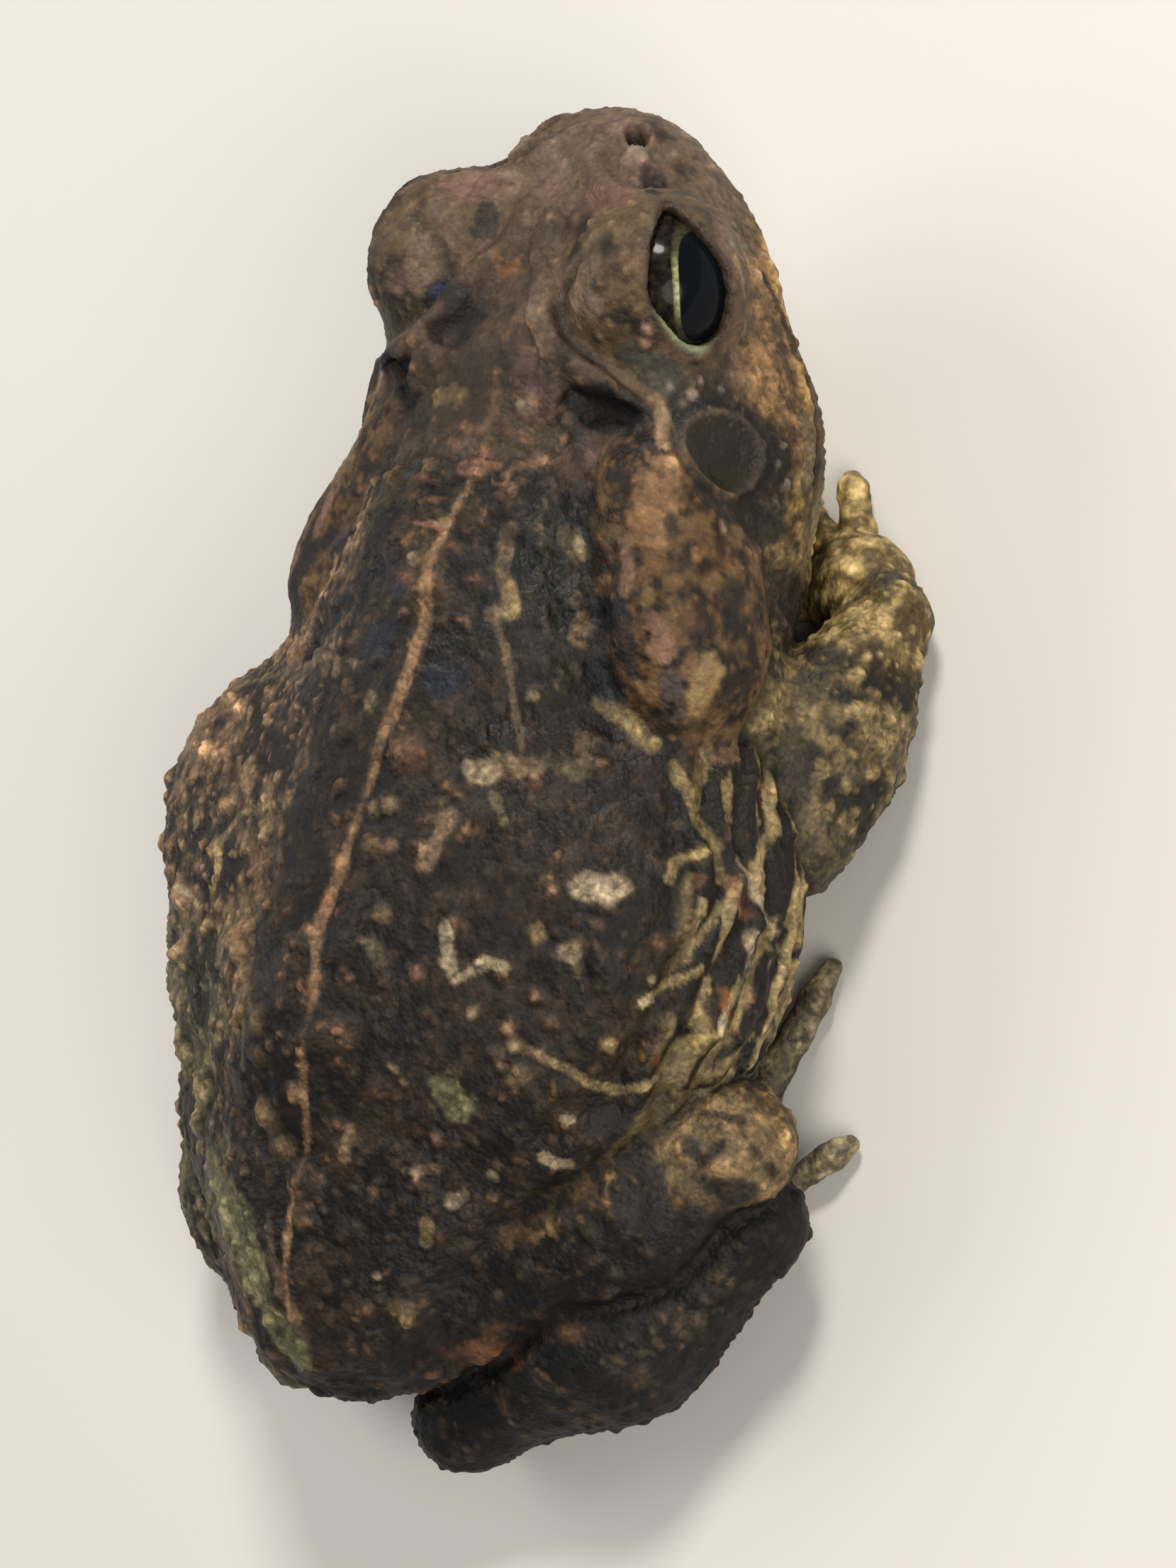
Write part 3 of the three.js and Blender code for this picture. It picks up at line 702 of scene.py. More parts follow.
    def brought_to_skin(self, line):
        """The places of a line, each moved to the nearest point of the skin."""
        moved = []
        for place in line:
            q = self.p[self.near([place], 2.5)]
            moved.append(q[np.argmin(np.linalg.norm(q - place, axis=1))] if len(q) else place)
        return moved

    def strip(self, line, width, seed=0):
        """A strip with uneven edges along a line."""
        line = self.brought_to_skin(line)
        mask = np.zeros(len(self.p))
        inside = self.near(line, 1.7 * width)
        q = self.p[inside]
        far = off_line(q, line)
        uneven = 0.34 * noise(q, width * 1.6 + 0.4, 950 + seed) + 0.3 * noise(q, 0.6, 970 + seed)
        mask[inside] = smooth(1.15, 0.6, far / width + uneven)
        return mask

    def bead(self, place, size):
        """A small round bump at a place."""
        mask = np.zeros(len(self.p))
        inside = self.near([place], size)
        mask[inside] = dome(np.linalg.norm(self.p[inside] - place, axis=1) / size)
        return mask


# Grooves of the skin, each a line, a width and a depth, and folds, each a line and a width
GROOVES = [
    ([(8.6, 18.8, 29), (9.6, 22.6, 27.6)], 0.9, 0.8),
    ([(12.9, 11.6, 27.6), (13.4, 8.6, 27), (14.8, 6.4, 26.6)], 1.0, 0.6),
    ([(-1.8, 11.4, 33.1), (-4.4, 9.4, 32.6), (-7.4, 6.2, 31.3), (-11.1, 4.3, 28.9)], 1.2, 0.9),
    ([(-6.4, 22.6, 29.6), (-8.4, 18.4, 29)], 0.9, 0.6),
    ([(16.8, 3.6, 22), (19.4, -1.5, 18), (21, -5.6, 12)], 0.8, 0.6),
    ([(3.6, 11.4, 32.8), (4.6, 7.7, 32.6), (6, 3.4, 32)], 0.6, 0.3),
    ([(8.6, 24.4, 30.4), (10.4, 26.2, 30.4), (12.3, 25.6, 29.4)], 1.3, 0.7),
    ([(-8.6, 24.4, 30.4), (-10.4, 26.2, 30.4), (-12.3, 25.6, 29.4)], 1.3, 0.9),
]
FOLDS = [
    ([(6.7, 9.6, 31.5), (7.5, 7.7, 31.2), (8.7, 4.8, 30.6), (10, 1.5, 29.9)], 0.35),
    ([(3.4, 18.1, 32), (4.9, 18.2, 31.4), (6.5, 20, 30.9), (8, 22.1, 30.2)], 0.3),
]

# Raised tubercles of the head: a colour, their size and where they are
BEADS = [
    ("7a6f62", 0.5, [(16.4, 30.5, 21.8), (17.2, 30.4, 18.9), (18.7, 25.1, 17.4), (18.7, 24, 20.3),
                     (18.6, 23.1, 21.5), (15.4, 39.4, 28.3), (12.9, 39.3, 20.5)]),
    ("5d554b", 0.42, [(15.6, 29.7, 24.7), (16.1, 31.8, 21.5), (15.5, 31.8, 23), (15.2, 32.9, 23.1),
                      (18.3, 23, 19.2), (18.3, 26.1, 18.8), (16.8, 29.2, 22), (17.6, 29, 19.6),
                      (18.1, 27.6, 18.6), (15, 39.7, 27.1)]),
    ("8c6a58", 0.65, [(16.9, 31.8, 16.4), (12.9, 31.8, 31.8), (12.6, 30.9, 31.1)]),
    ("6b5146", 0.45, [(9, 31.1, 32.1), (9.3, 30.5, 31.8)]),
    ("a5835c", 0.7, [(15.5, 23, 28)]),
]

# Heights and depths of the skin's relief
WRINKLE_HEIGHT = 0.14
FLANK_FOLD_HEIGHT = 0.3
FOLD_HEIGHT = 0.35
CREASE_DEPTH = 0.5
PORE_DEPTH = 0.3
BEAD_HEIGHT = 0.5
LID_GROOVE_DEPTH, LID_GROOVE_WIDTH = 0.5, 0.7
LID_RIM_HEIGHT = 0.16
EAR_RING_HEIGHT, EAR_DRUM_DEPTH = 0.38, 0.3
NOSTRIL_RIM_HEIGHT, NOSTRIL_DEPTH = 0.35, 2.2
MOUTH_DEPTH = 0.62


def lid_groove(side):
    """The groove round the raised dome of the upper lid."""
    return traced([
        (8.9, 37, 34), (6.5, 35.4, 33.2), (5.1, 33, 32.4), (5.7, 31.3, 32.6), (7.4, 30, 32.4),
        (9.7, 29, 31.6), (11.9, 28.2, 30.4), (13.5, 27.6, 29.1)], side)


def grain_of(places):
    """How much each point belongs to the raised part of a wart, tubercle or granule, from 0 to 1."""
    near = [spot[0] for spot in (places.warts, places.tubercles, places.granules)]
    return np.clip(dome(near[0]) * 0.55 + dome(near[1]) * 0.8 + dome(near[2]) * 0.7, 0, 1)


def nape_of(places):
    """The back of the neck."""
    nape = smooth(9, 12, places.forward) * smooth(25, 20, places.forward)
    return nape * smooth(9, 5, np.abs(places.right)) * smooth(25, 27, places.up)


def wrinkle_of(places):
    """Fine wrinkles across the neck, from -1 in a furrow to 1 on a fold."""
    bent = places.p + (0, 0.7, 0) * noise(places.p, 3, 61)[:, None]
    return 1.6 * noise(bent * (0.28, 1, 0.28), 0.75, 62) + 0.5 * noise(bent * (0.4, 1, 0.4), 0.4, 63)


def relief(places):
    """How far each point of the skin stands out from the smooth forms, in millimetres."""
    p = places.p
    trunk, head, limbs, glands = places.trunk, places.head, places.limbs, places.glands
    crown = places.crown
    bare = np.clip(1 - places.rims * 1.2, 0, 1) * smooth(1.0, 1.12, places.ears)
    top = 1 - 0.75 * places.belly
    fingers = np.maximum(places.hands, places.feet)
    height = rough(p, 7, 11) * (0.55 * trunk + 0.14 * head + 0.3 * limbs + 0.3 * glands) * top
    height += rough(p, 2.4, 14) * (0.34 * trunk + 0.16 * head + 0.26 * limbs + 0.14 * glands) * top

    # Warts, from the large ones of the back down to the granules that cover everything
    near, radius, _ = places.warts
    height += dome(near) * radius * (0.4 * trunk + 0.06 * head + 0.2 * places.thighs) * top * bare
    near, radius, _ = places.tubercles
    share = 0.5 * trunk + 0.34 * head - 0.16 * crown + 0.42 * limbs + 0.08 * glands
    height += dome(near) * radius * share * (1 - 0.6 * fingers) * top * bare
    near, radius, _ = places.granules
    share = 0.55 * trunk + 0.45 * head - 0.12 * crown + 0.5 * limbs + 0.2 * glands
    height += dome(near) * radius * share * (1 - 0.5 * fingers) * (1 - 0.4 * places.belly) * bare
    near, _, _ = places.pores
    height -= dome(near) * PORE_DEPTH * glands

    # Loose skin: wrinkles across the neck, and folds that run along the flanks
    height += WRINKLE_HEIGHT * wrinkle_of(places) * nape_of(places)
    down, _, on_flank = places.flank()
    folds = np.sin(down * 2.1 + 3.0 * noise(p * (1, 1, 0.6), 6, 71))
    height += FLANK_FOLD_HEIGHT * folds * on_flank * top

    for line, width, depth in GROOVES:
        height -= depth * near_line(p, traced(line), width)
    for line, width in FOLDS:
        height += FOLD_HEIGHT * near_line(p, traced(line), width)
    for side in SIDES:
        height -= LID_GROOVE_DEPTH * near_line(p, lid_groove(side), LID_GROOVE_WIDTH)
        height -= 0.7 * places.patch(at(7.8 * side, 43.2, 28.6), 1.1, (1, 1.2, 1), 91)
        height += 0.5 * places.patch(at(5.4 * side, 45, 28.6), 1.1, seed=92)
        for _, size, beads in BEADS:
            for place in traced(beads, side):
                height += BEAD_HEIGHT * size * places.bead(place, size)
    height -= CREASE_DEPTH * places.creases

    # Ear drums, nostrils, the rims of the lids and the line of the mouth
    ears = places.ears
    height += EAR_RING_HEIGHT * np.exp(-((ears - 1.06) / 0.11) ** 2)
    height -= EAR_DRUM_DEPTH * smooth(1.0, 0.35, ears)
    for far in nostrils(p):
        height += NOSTRIL_RIM_HEIGHT * np.exp(-((far - 1.45) / 0.35) ** 2)
        height -= NOSTRIL_DEPTH * np.exp(-(far / 0.95) ** 4)
    height += LID_RIM_HEIGHT * places.rims
    height -= MOUTH_DEPTH * places.mouth
    return height


def nostrils(p):
    """How far points are from each nostril's middle, as a share of the nostril's size."""
    shares = []
    for side in SIDES:
        place = on_head(at(NOSTRIL_OUT * side, NOSTRIL_FORWARD, NOSTRIL_UP), 0)
        ahead = at(0.62 * side, -0.75, 0.2)
        q = p - place
        along = q @ ahead
        rest = np.linalg.norm(q - along[:, None] * ahead, axis=1)
        shares.append(np.hypot(along / 1.25, rest / 0.8))
    return shares


# Colours, as they look on a screen


def tint(code):
    """A colour such as '8a5a3c' as linear red, green and blue."""
    parts = np.array([int(code[i:i + 2], 16) for i in (0, 2, 4)]) / 255
    return np.where(parts <= 0.04045, parts / 12.92, ((parts + 0.055) / 1.055) ** 2.4)


def lay(tone, colour, mask):
    tone += (colour - tone) * np.clip(mask, 0, 1)[:, None]


# Each kind of skin has three colours: in its hollows, between, and on the tips of its granules. The dark
# hollow colour is partly the skin's own dark ground and partly painted shade.
BACK = "110e0b", "30251b", "705439"
SHOULDER = "1d1813", "755d44", "d8a978"
NAPE = "120e0b", "382c1c", "8c6340"
VALLEY = "0f110f", "2e2a21", "726348"
SNOUT = "2e241b", "614f3f", "816d5c"
LID = "261f18", "594731", "836c54"
TEMPLE = "0f0d0c", "282017", "857060"
CHEEK = "433221", "7f623f", "a7855b"
CORNER = "342a1a", "8c713d", "bb9b59"
GLAND = "20160e", "5c4327", "886a46"
ARM = "211c14", "786643", "baa171"
THIGH = "1c150e", "6b5331", "a07f4f"
HIP = "0d0b08", "221a12", "46382a"
SHANK = "060705", "13110d", "382f22"
FOOT = "4a4234", "877a5c", "a09374"
REAR = "1c1b15", "655b43", "a0926f"
HAND = "5d4c2c", "b19863", "d4be8a"
FLANK = "0d0a05", "2a1e0d", "684f25"
BELLY = "6e6146", "a5946c", "c8b98f"

DARK = tint("15120f")
BROWN = tint("4a3a29")
PINK = tint("8a6353")
SAND = tint("a08a5c")
PALE = tint("c9bc8e")
RUST = tint("80502f")
ORANGE = tint("b0703f")
BLUE = tint("1a1e26")
DRUM = tint("251e16")
CREAM = tint("b3a07f")
OLIVE = tint("6d6148")
TAN = tint("94795a")
ROSE = tint("8d6a4e")
OCHRE = tint("75624a")
LIP = tint("a8884e")
SLATE = tint("26221f")
UMBER = tint("33291d")


def kinds_of_skin(places):
    """Which kind of skin is where, as a list of kinds and masks, each laid over those before it."""
    right, forward, up = places.right, places.forward, places.up
    wide = np.abs(right)
    p = places.p
    wander = 2.5 * noise(p, 6, 161)
    head = places.head
    valley = smooth(4.5, 6.5, wide) * smooth(13, 11, wide)
    valley = valley * smooth(4, 8, forward) * smooth(26, 23, forward)
    temple = blot_at(places, 17, 25.2, 22.6, 6.2, (1, 1, 0.9))
    cheek = head * smooth(24.5, 22, up) * smooth(10, 12, wide)
    cheek = cheek * smooth(25, 28, forward) * smooth(43.5, 39.5, forward)
    corner = head * smooth(21, 19, up) * smooth(27.5, 26, forward) * smooth(8, 11, up)
    thigh = np.zeros(len(p))
    for side in SIDES:
        hip, knee, _, _ = leg_pose(side)
        mine = right * side > 0
        run = run_along(p, hip, knee)
        ahead = across_from(p, hip, knee, side)
        edge = smooth(-3.6, -2.2, ahead + 0.8 * noise(p, 2.2, 171) + 1.6 * smooth(0.7, 1.1, run))
        thigh = np.maximum(thigh, places.thighs * mine * edge * smooth(-0.15, 0.35, run))
    return [
        (SHOULDER, places.trunk * smooth(-3, -8, right + wander)),
        (REAR, places.trunk * smooth(-6, -11, right + wander) * smooth(-14, -24, forward)),
        (NAPE, places.trunk * smooth(5, 9, forward) * smooth(8, 5, wide)),
        (VALLEY, places.trunk * valley * (right > 0)),
        (FLANK, places.flank()[2]),
        (SNOUT, head),
        (NAPE, head * smooth(30, 26, forward) * smooth(24, 27, up)),
        (LID, places.lids * head),
        (CHEEK, cheek),
        (CORNER, corner),
        (TEMPLE, temple * (1 - places.limbs) * (1 - places.glands)),
        (GLAND, places.glands),
        (ARM, places.arms),
        (FOOT, places.feet),
        (HAND, places.hands),
        (HAND, places.arms * smooth(12, 18, forward) * 0.8),
        (HIP, places.thighs),
        (REAR, places.thighs * smooth(0, -6, right)),
        (THIGH, thigh),
        (SHANK, places.shanks),
        (REAR, places.shanks * smooth(0, -6, right)),
        (BELLY, places.belly * 0.9),
        (BELLY, head * smooth(13, 9, up)),
    ]


def blot_at(places, out, forward, up, size, stretch):
    """The same patch on both sides of the animal."""
    return np.maximum(places.patch(at(out, forward, up), size, stretch),
                      places.patch(at(-out, forward, up), size, stretch))


def run_along(p, start, end):
    """Where points lie between a start and an end: 0 at the one and 1 at the other."""
    axis = end - start
    return (p - start) @ axis / (axis @ axis)


def across_from(p, start, end, side):
    """How far points lie in front of a line, as seen from above."""
    axis = (end - start)[:2]
    axis = axis / np.linalg.norm(axis)
    ahead = np.array([-axis[1], axis[0]]) * side
    return (p[:, :2] - start[:2]) @ ahead * (1 if ahead[1] < 0 else -1)


# Marks of the back and flanks: a colour, half a width, and the line that each follows
MARKS = [
    (tint("7f7a58"), 2.2, [(-9, -36, 24.5), (-5.2, -39, 25.8), (-2, -42.4, 25.5)]),
    (tint("77744f"), 1.7, [(-2, -42.4, 25.5), (0.2, -45.4, 23.8), (1.2, -47, 22.4)]),
    (tint("6d5a45"), 0.5, [(-1, -37.5, 26.9), (0.6, -41.5, 25.6), (2.4, -45.6, 23.2)]),
    (CREAM, 0.89, [(8.6, -2.2, 31.1), (9.8, -1.6, 30.5)]),
    (TAN, 0.81, [(9.8, -1.4, 30.4), (12.4, -0.9, 29.2)]),
    (OLIVE, 0.96, [(12.8, 0.1, 28.5), (14.8, 0, 27.6)]),
    (OLIVE, 0.44, [(9.9, -3.4, 30.5), (11.7, -5.1, 30)]),
    (TAN, 0.67, [(8.2, -5.9, 31.9), (7.3, -9.4, 32.1)]),
    (CREAM, 0.99, [(18, -8, 27.3), (20.1, -7.6, 26.4)]),
    (SAND, 0.67, [(16, -12.1, 28.5), (16.2, -12.1, 28.4)]),
    (CREAM, 0.74, [(17.9, -12.9, 27.5), (18.1, -12.9, 27.4)]),
    (CREAM, 0.55, [(9.9, -13.4, 31.2), (10.5, -15.5, 30.7), (11.4, -16.7, 30.2)]),
    (CREAM, 0.48, [(11.8, -16.3, 30), (13.3, -15, 29.5), (14.6, -15, 29.1)]),
    (OLIVE, 0.67, [(5.6, -16.3, 32.8), (6, -17.4, 32.5)]),
    (SAND, 0.74, [(14.3, 5, 26.8), (16.6, 4.6, 26.2), (18.6, 3.4, 25)]),
    (TAN, 0.4, [(15.3, -19.2, 28), (16.6, -20.4, 27), (18.4, -20.5, 25.8)]),
    (SAND, 0.4, [(18.4, -20.5, 25.8), (20.5, -21.3, 23.8), (22, -21.5, 22.1), (23.5, -19.9, 20.5)]),
    (SAND, 0.35, [(23.5, -19.9, 20.5), (24.8, -17.3, 19.9), (25.5, -14.8, 18.4)]),
    (CREAM, 0.52, [(25.5, -14.8, 18.4), (26, -12.4, 17.4), (26.2, -10.7, 16.9), (25.9, -8.2, 17.5)]),
    (SAND, 0.38, [(22.7, -14.7, 23.3), (23.5, -13, 22.5), (24.9, -11.5, 20.6)]),
    (CREAM, 0.47, [(22.6, -14.8, 23.4), (22.9, -14.5, 23.1)]),
    (SAND, 0.4, [(24.2, -10.9, 21.8), (24.5, -9.1, 21.2), (24.7, -7.1, 20.3), (25, -5.8, 19.3)]),
    (SAND, 0.4, [(22.1, -5.9, 23.7), (22.1, -4.5, 23.4), (23, -3.4, 21.9)]),
    (SAND, 0.49, [(19.7, 1.9, 23.4), (21, 0.4, 22.7), (22, -1.1, 22.1), (23.2, -2.5, 21.2),
                  (24.3, -4.8, 20.5)]),
    (ROSE, 0.64, [(20.9, 3.6, 20.3), (21.7, 4.2, 18.8)]),
    (CREAM, 0.35, [(24.5, -3.2, 19.4), (25.4, -5.2, 17.7), (26, -6.8, 15.8), (26.3, -8.8, 13.1)]),
    (ROSE, 0.4, [(24.6, -4.9, 20), (25.4, -6.9, 18.6)]),
    (SAND, 0.35, [(26, -9, 10.5), (26.2, -12, 10.5), (25.6, -16, 9.5)]),
    (SAND, 0.32, [(26.1, -14.9, 14), (25.8, -17, 16.1), (25.2, -18.8, 16.7)]),
    (CREAM, 0.35, [(25.5, -18.2, 14.3), (25, -19.7, 16), (24.5, -20.8, 17.5)]),
    (ROSE, 0.47, [(26.2, -12.2, 16.3), (26.2, -12.4, 16.2)]),
    (DARK, 0.7, [(26.2, -11.1, 17.3), (26.4, -10.7, 15.4)]),
    (DARK, 0.6, [(25.6, -7.6, 18.3), (25.7, -7.9, 18)]),
    (tint("8f875f"), 1.3, [(11.6, -24.8, 28), (12.8, -25.6, 27.4)]),
    (CREAM, 0.52, [(17.8, -27.2, 23), (19.1, -27.4, 21.5)]),
    (CREAM, 0.59, [(14.6, -29.8, 23.9), (14.8, -29.8, 23.7)]),
    (CREAM, 0.52, [(12, -32.6, 24.2), (12.9, -31.9, 24)]),
    (SAND, 0.52, [(10.7, -34.7, 24.4), (10.7, -35.9, 23.8)]),
    (CREAM, 0.35, [(19.2, -24.1, 23.6), (19.5, -24.1, 23.3)]),
    (TAN, 0.44, [(10, -31.1, 26.3), (11.4, -30.4, 25.8)]),
    (OLIVE, 0.59, [(-0.2, 1.1, 33.6), (0.1, 0.7, 33.6)]),
    (SAND, 0.59, [(1.6, 14.9, 32.9), (1.7, 14.5, 32.9)]),
    (OCHRE, 0.67, [(5.9, 15.4, 31.5), (6.3, 12.4, 31.4), (7.3, 10.4, 31.1), (6.6, 9.3, 31.6)]),
    (OCHRE, 0.81, [(9.2, 16.1, 29), (9.9, 15.2, 28.6)]),
    (CREAM, 0.4, [(9.8, 15.9, 28.6), (10, 15.7, 28.5)]),
    (OCHRE, 0.33, [(6.9, 8.6, 31.5), (8.1, 6.8, 30.8), (8.9, 4.9, 30.5), (9.9, 2.6, 29.9),
                   (10.8, 0.7, 29.6)]),
    (ROSE, 0.3, [(3.8, 18.3, 31.9), (4.6, 18.2, 31.5), (4.5, 19.7, 31.2), (6.5, 20.9, 30.9)]),
    (ROSE, 0.3, [(7.4, 24.3, 30.6), (8.9, 24.1, 30.1)]),
    (OCHRE, 0.37, [(-2, 3.4, 33.3), (-6.7, 3.4, 31.7), (-10.2, 2.7, 29.7)]),
    (SAND, 0.67, [(7.1, 11.2, 31.1), (7.7, 9.5, 30.9)]),
    (TAN, 0.67, [(11.6, 10.6, 27.8), (11.9, 9.1, 27.7)]),
    (SAND, 0.67, [(-3.6, 24.5, 31.9), (-1, 24.8, 32.4)]),
    (CREAM, 0.37, [(3.8, 24.7, 31.9), (3.9, 24.6, 31.9)]),
    (SAND, 0.37, [(-13.8, -16.3, 29.2), (-12.8, -14.5, 29.8), (-13.5, -12.1, 29.7), (-12.7, -9.7, 30),
                  (-8, -8.3, 31.8)]),
    (CREAM, 0.3, [(-18.1, -16.1, 27.2), (-15.1, -17.3, 28.5)]),
    (SAND, 0.67, [(-18.4, -10.5, 27.8), (-18.2, -10.7, 27.8)]),
    (OLIVE, 0.44, [(-16.3, 1.1, 26.6), (-11.7, 2.6, 28.8), (-8.3, 3.9, 30.8)]),
    (OLIVE, 0.59, [(-10.1, -24.4, 28.9), (-10.3, -24.7, 28.7)]),
    (OLIVE, 0.81, [(-7, -33.1, 27), (-7.3, -34.8, 26.3)]),
    (OLIVE, 0.37, [(-3.7, -24.1, 32.3), (-4.1, -27.2, 30.9)]),
    (TAN, 0.52, [(5.2, -29.5, 29.3), (4.9, -31.6, 28.3)]),
]

# The pale line down the middle of the back
STRIPE = traced([
    (1.9, 25.6, 32.4), (2, 22.6, 32.3), (2.4, 20.6, 32.4), (2.3, 17, 32.5), (1.5, 11.6, 33.2),
    (2.2, 8.4, 33.3), (2.3, 3.5, 33.6), (1.6, -1.4, 33.4), (1.5, -6.3, 33.6), (1.6, -11.7, 33.8),
    (1, -15.6, 33.8), (2.2, -20.6, 33.4), (2.2, -25.8, 32.2), (1.8, -30.9, 29.6), (1, -38.6, 26.8),
    (1.2, -44.3, 24.2)])

# Dark blots of the neck and back: where they are and their size
BLOTS = [(-10.8, 12.6, 28.2, 1.5), (-0.9, 4.8, 33.5, 1.9), (0, 9, 33.5, 1.1), (-2.7, 18.3, 32.2, 1.3),
         (4.6, 4, 32.6, 1.7)]

# Marks of the head, the same on both sides
HEAD_MARKS = [
    (DARK, 0.4, [(12.6, 39.7, 19.4), (13.5, 38.1, 18.5), (14.6, 36.4, 17.2), (15.9, 34.3, 16.6)]),
    (OLIVE, 0.9, [(17.7, 29.8, 16.2), (18.4, 28, 15.2), (18.8, 25.8, 15.3)]),
    (SAND, 1.1, [(18.3, 24.2, 12.1), (18.1, 22.3, 11.3)]),
    (TAN, 0.35, [(15.6, 38.3, 28.2), (15.9, 36.6, 26)]),
    (OLIVE, 0.8, [(14.2, 36.3, 22.2), (14.7, 34.8, 22.8)]),
    (OCHRE, 0.45, [(7.6, 30.6, 32.1), (9.4, 29.5, 31.4), (10.9, 28.7, 30.3), (12.3, 27.9, 29.1),
                   (12.8, 27.7, 28.3)]),
    (TAN, 0.6, [(13, 27.3, 28.1), (13.2, 25.6, 26.8), (14.6, 24.1, 28)]),
    (OCHRE, 0.3, [(15.8, 25.5, 27.7), (16.3, 26.7, 27.3), (16.6, 27.8, 25.9), (17.1, 28.1, 24.7)]),
    (DARK, 0.5, [(9, 41.6, 30.3), (11.1, 40.7, 30.9)]),
    (SLATE, 0.45, [(15.5, 24.5, 27.7), (15, 26.4, 27.4), (15.1, 28.4, 25.8), (15.9, 29.4, 24.1)]),
    (SLATE, 1.6, [(18.1, 21.7, 19.8), (18.7, 21.5, 17.4)]),
]

# Marks of the glands, the same on both sides
GLAND_MARKS = [
    (tint("8a6846"), 1.7, [(15.5, 22.4, 28), (15.6, 18.8, 28.7)]),
    (tint("7c604b"), 0.7, [(14.5, 16.9, 29), (15, 13.2, 28.7)]),
    (tint("946f5a"), 1.1, [(18.1, 11.4, 28), (19, 9.9, 27.4)]),
    (tint("9f8254"), 1.4, [(21.7, 9.2, 24.8), (20.9, 6.8, 25)]),
    (BLUE, 1.0, [(14.7, 11.8, 28.3), (16.1, 9.5, 27.8), (16.8, 7.8, 27)]),
    (tint("504848"), 1.1, [(19.6, 8, 26.6), (19.8, 5.9, 25.2)]),
    (SLATE, 0.8, [(16.9, 18.8, 28.2), (17.4, 18.2, 28)]),
    (SLATE, 1.2, [(21.4, 15, 24.4), (22, 13.2, 24)]),
]

# Dark spots on the right thigh
THIGH_MARKS = [
    (SLATE, 0.74, [(26.3, -23.9, 17.3), (26.4, -24, 17.2)]),
    (UMBER, 0.67, [(22.9, -25.3, 18.6), (23, -25.5, 18.6)]),
    (UMBER, 0.44, [(28.4, -23.1, 16.5), (27.3, -24.8, 16.9)]),
    (UMBER, 0.41, [(30.1, -22.9, 15.2), (30.9, -24, 13.5)]),
    (UMBER, 0.41, [(26.2, -21.5, 16.6), (28.9, -21.3, 15.7)]),
    (SLATE, 0.97, [(22.8, -28, 19), (23.2, -29.9, 18.5)]),
    (SLATE, 0.74, [(24.8, -26.2, 18.1), (25.5, -28.6, 17.5)]),
    (SLATE, 0.89, [(19.1, -30.8, 20.2), (19.6, -31.6, 19.9)]),
    (SLATE, 0.67, [(16.8, -31, 20.7), (16.9, -31.3, 20.6)]),
    (SLATE, 0.6, [(20.4, -27.4, 19.5), (20.7, -27.6, 19.3)]),
    (SLATE, 1.1, [(28.6, -25.9, 16), (29.8, -26.2, 14.6)]),
    (SLATE, 0.74, [(21.7, -32.2, 19), (22.7, -32.1, 18.6)]),
]

# Orange clusters on the head and back: right, forward and size
CLUSTERS = [
    (-0.9, 35.2, 1.1), (1.8, 31, 0.8), (1.8, 29, 1.0), (4.9, 31.7, 0.7), (4, 29.7, 0.9), (5.2, 25.6, 0.8),
    (2, 26.4, 0.7), (0.6, 22.2, 0.6), (2.6, 20.4, 0.7), (1.6, -11.4, 0.8), (1.4, -14.6, 1.2),
    (1, -16.2, 0.9), (1.2, -20.6, 0.9), (2, -25.4, 0.8),
]

# Patches of the head: a colour, where they are, their size, how they are stretched, a seed and a strength
CROWN_PATCHES = [
    ("766553", (7.4, 34, 33), 2.2, (1, 1.2, 1.5), 80, 0.5),
    ("7d5c50", (6.4, 41, 31), 1.8, (1.5, 1, 1.5), 81, 0.5),
    ("464a41", (12.8, 29.4, 29.8), 2.1, (1, 0.8, 1.2), 83, 0.7),
    # Painted shade in the hollow behind the eye
    ("131110", (9.4, 25.8, 30.4), 2.1, (1.6, 0.8, 1.2), 84, 0.9),
]
SNOUT_PATCHES = [
    # Painted shade in the hollow between the nostril and the eye
    ("1c1714", (7.2, 43.4, 28.4), 1.3, (1, 1.3, 1), 85, 0.7),
    ("6f6557", (5.2, 45.4, 28.6), 0.9, (1, 1, 1), 86, 0.6),
]
LEFT_PAINTED_SHADE_AND_REFLECTION = [
    # Painted shade in the hollow by the left lid
    ("161517", (4.8, 30.4, 32.2), 2.3, (1.2, 1.2, 1), 88, 0.85),
    # A painted bluish reflection in that hollow
    ("3c4468", (6.1, 31.7, 32.3), 0.8, (1, 1.4, 1), 89, 0.5),
]


def paint(places, height):
    """The skin's colour at each point: its kinds of skin first, then the marks on them, then painted shade
    and light from the relief.
    """
    p = places.p
    grain = grain_of(places)
    fine = rough(p, 1.1, 301)
    mottle = rough(p, 4.5, 101)
    tones = [np.tile(tint(code), (len(p), 1)) for code in BACK]
    for kind, mask in kinds_of_skin(places):
        for tone, code in zip(tones, kind):
            lay(tone, tint(code), mask)
    tone, middle, tips = tones
    # The hollow colour stays where the skin is not raised: partly its own dark ground, partly painted
    # shade between the granules
    level = grain + 0.6 * mottle + 0.5 * fine - 0.12 + 0.2 * places.head
    lay(tone, middle, smooth(-0.35, 0.3, level))
    lay(tone, tips, smooth(0.5, 1.2, level) * 0.85)

    paint_back(places, tone, grain, fine)
    paint_glands(places, tone, fine)
    paint_limbs(places, tone, grain, fine)
    paint_head(places, tone, fine)
    # Painted shade: darker in the creases where two parts press together
    lay(tone, DARK, places.creases * 0.85)
    # Painted shade and light: darker in the hollows of the relief, lighter on its raised parts
    shade = np.clip(0.86 + 0.5 * height, 0.45, 1.2)
    return np.clip(tone * shade[:, None], 0.003, 0.9)


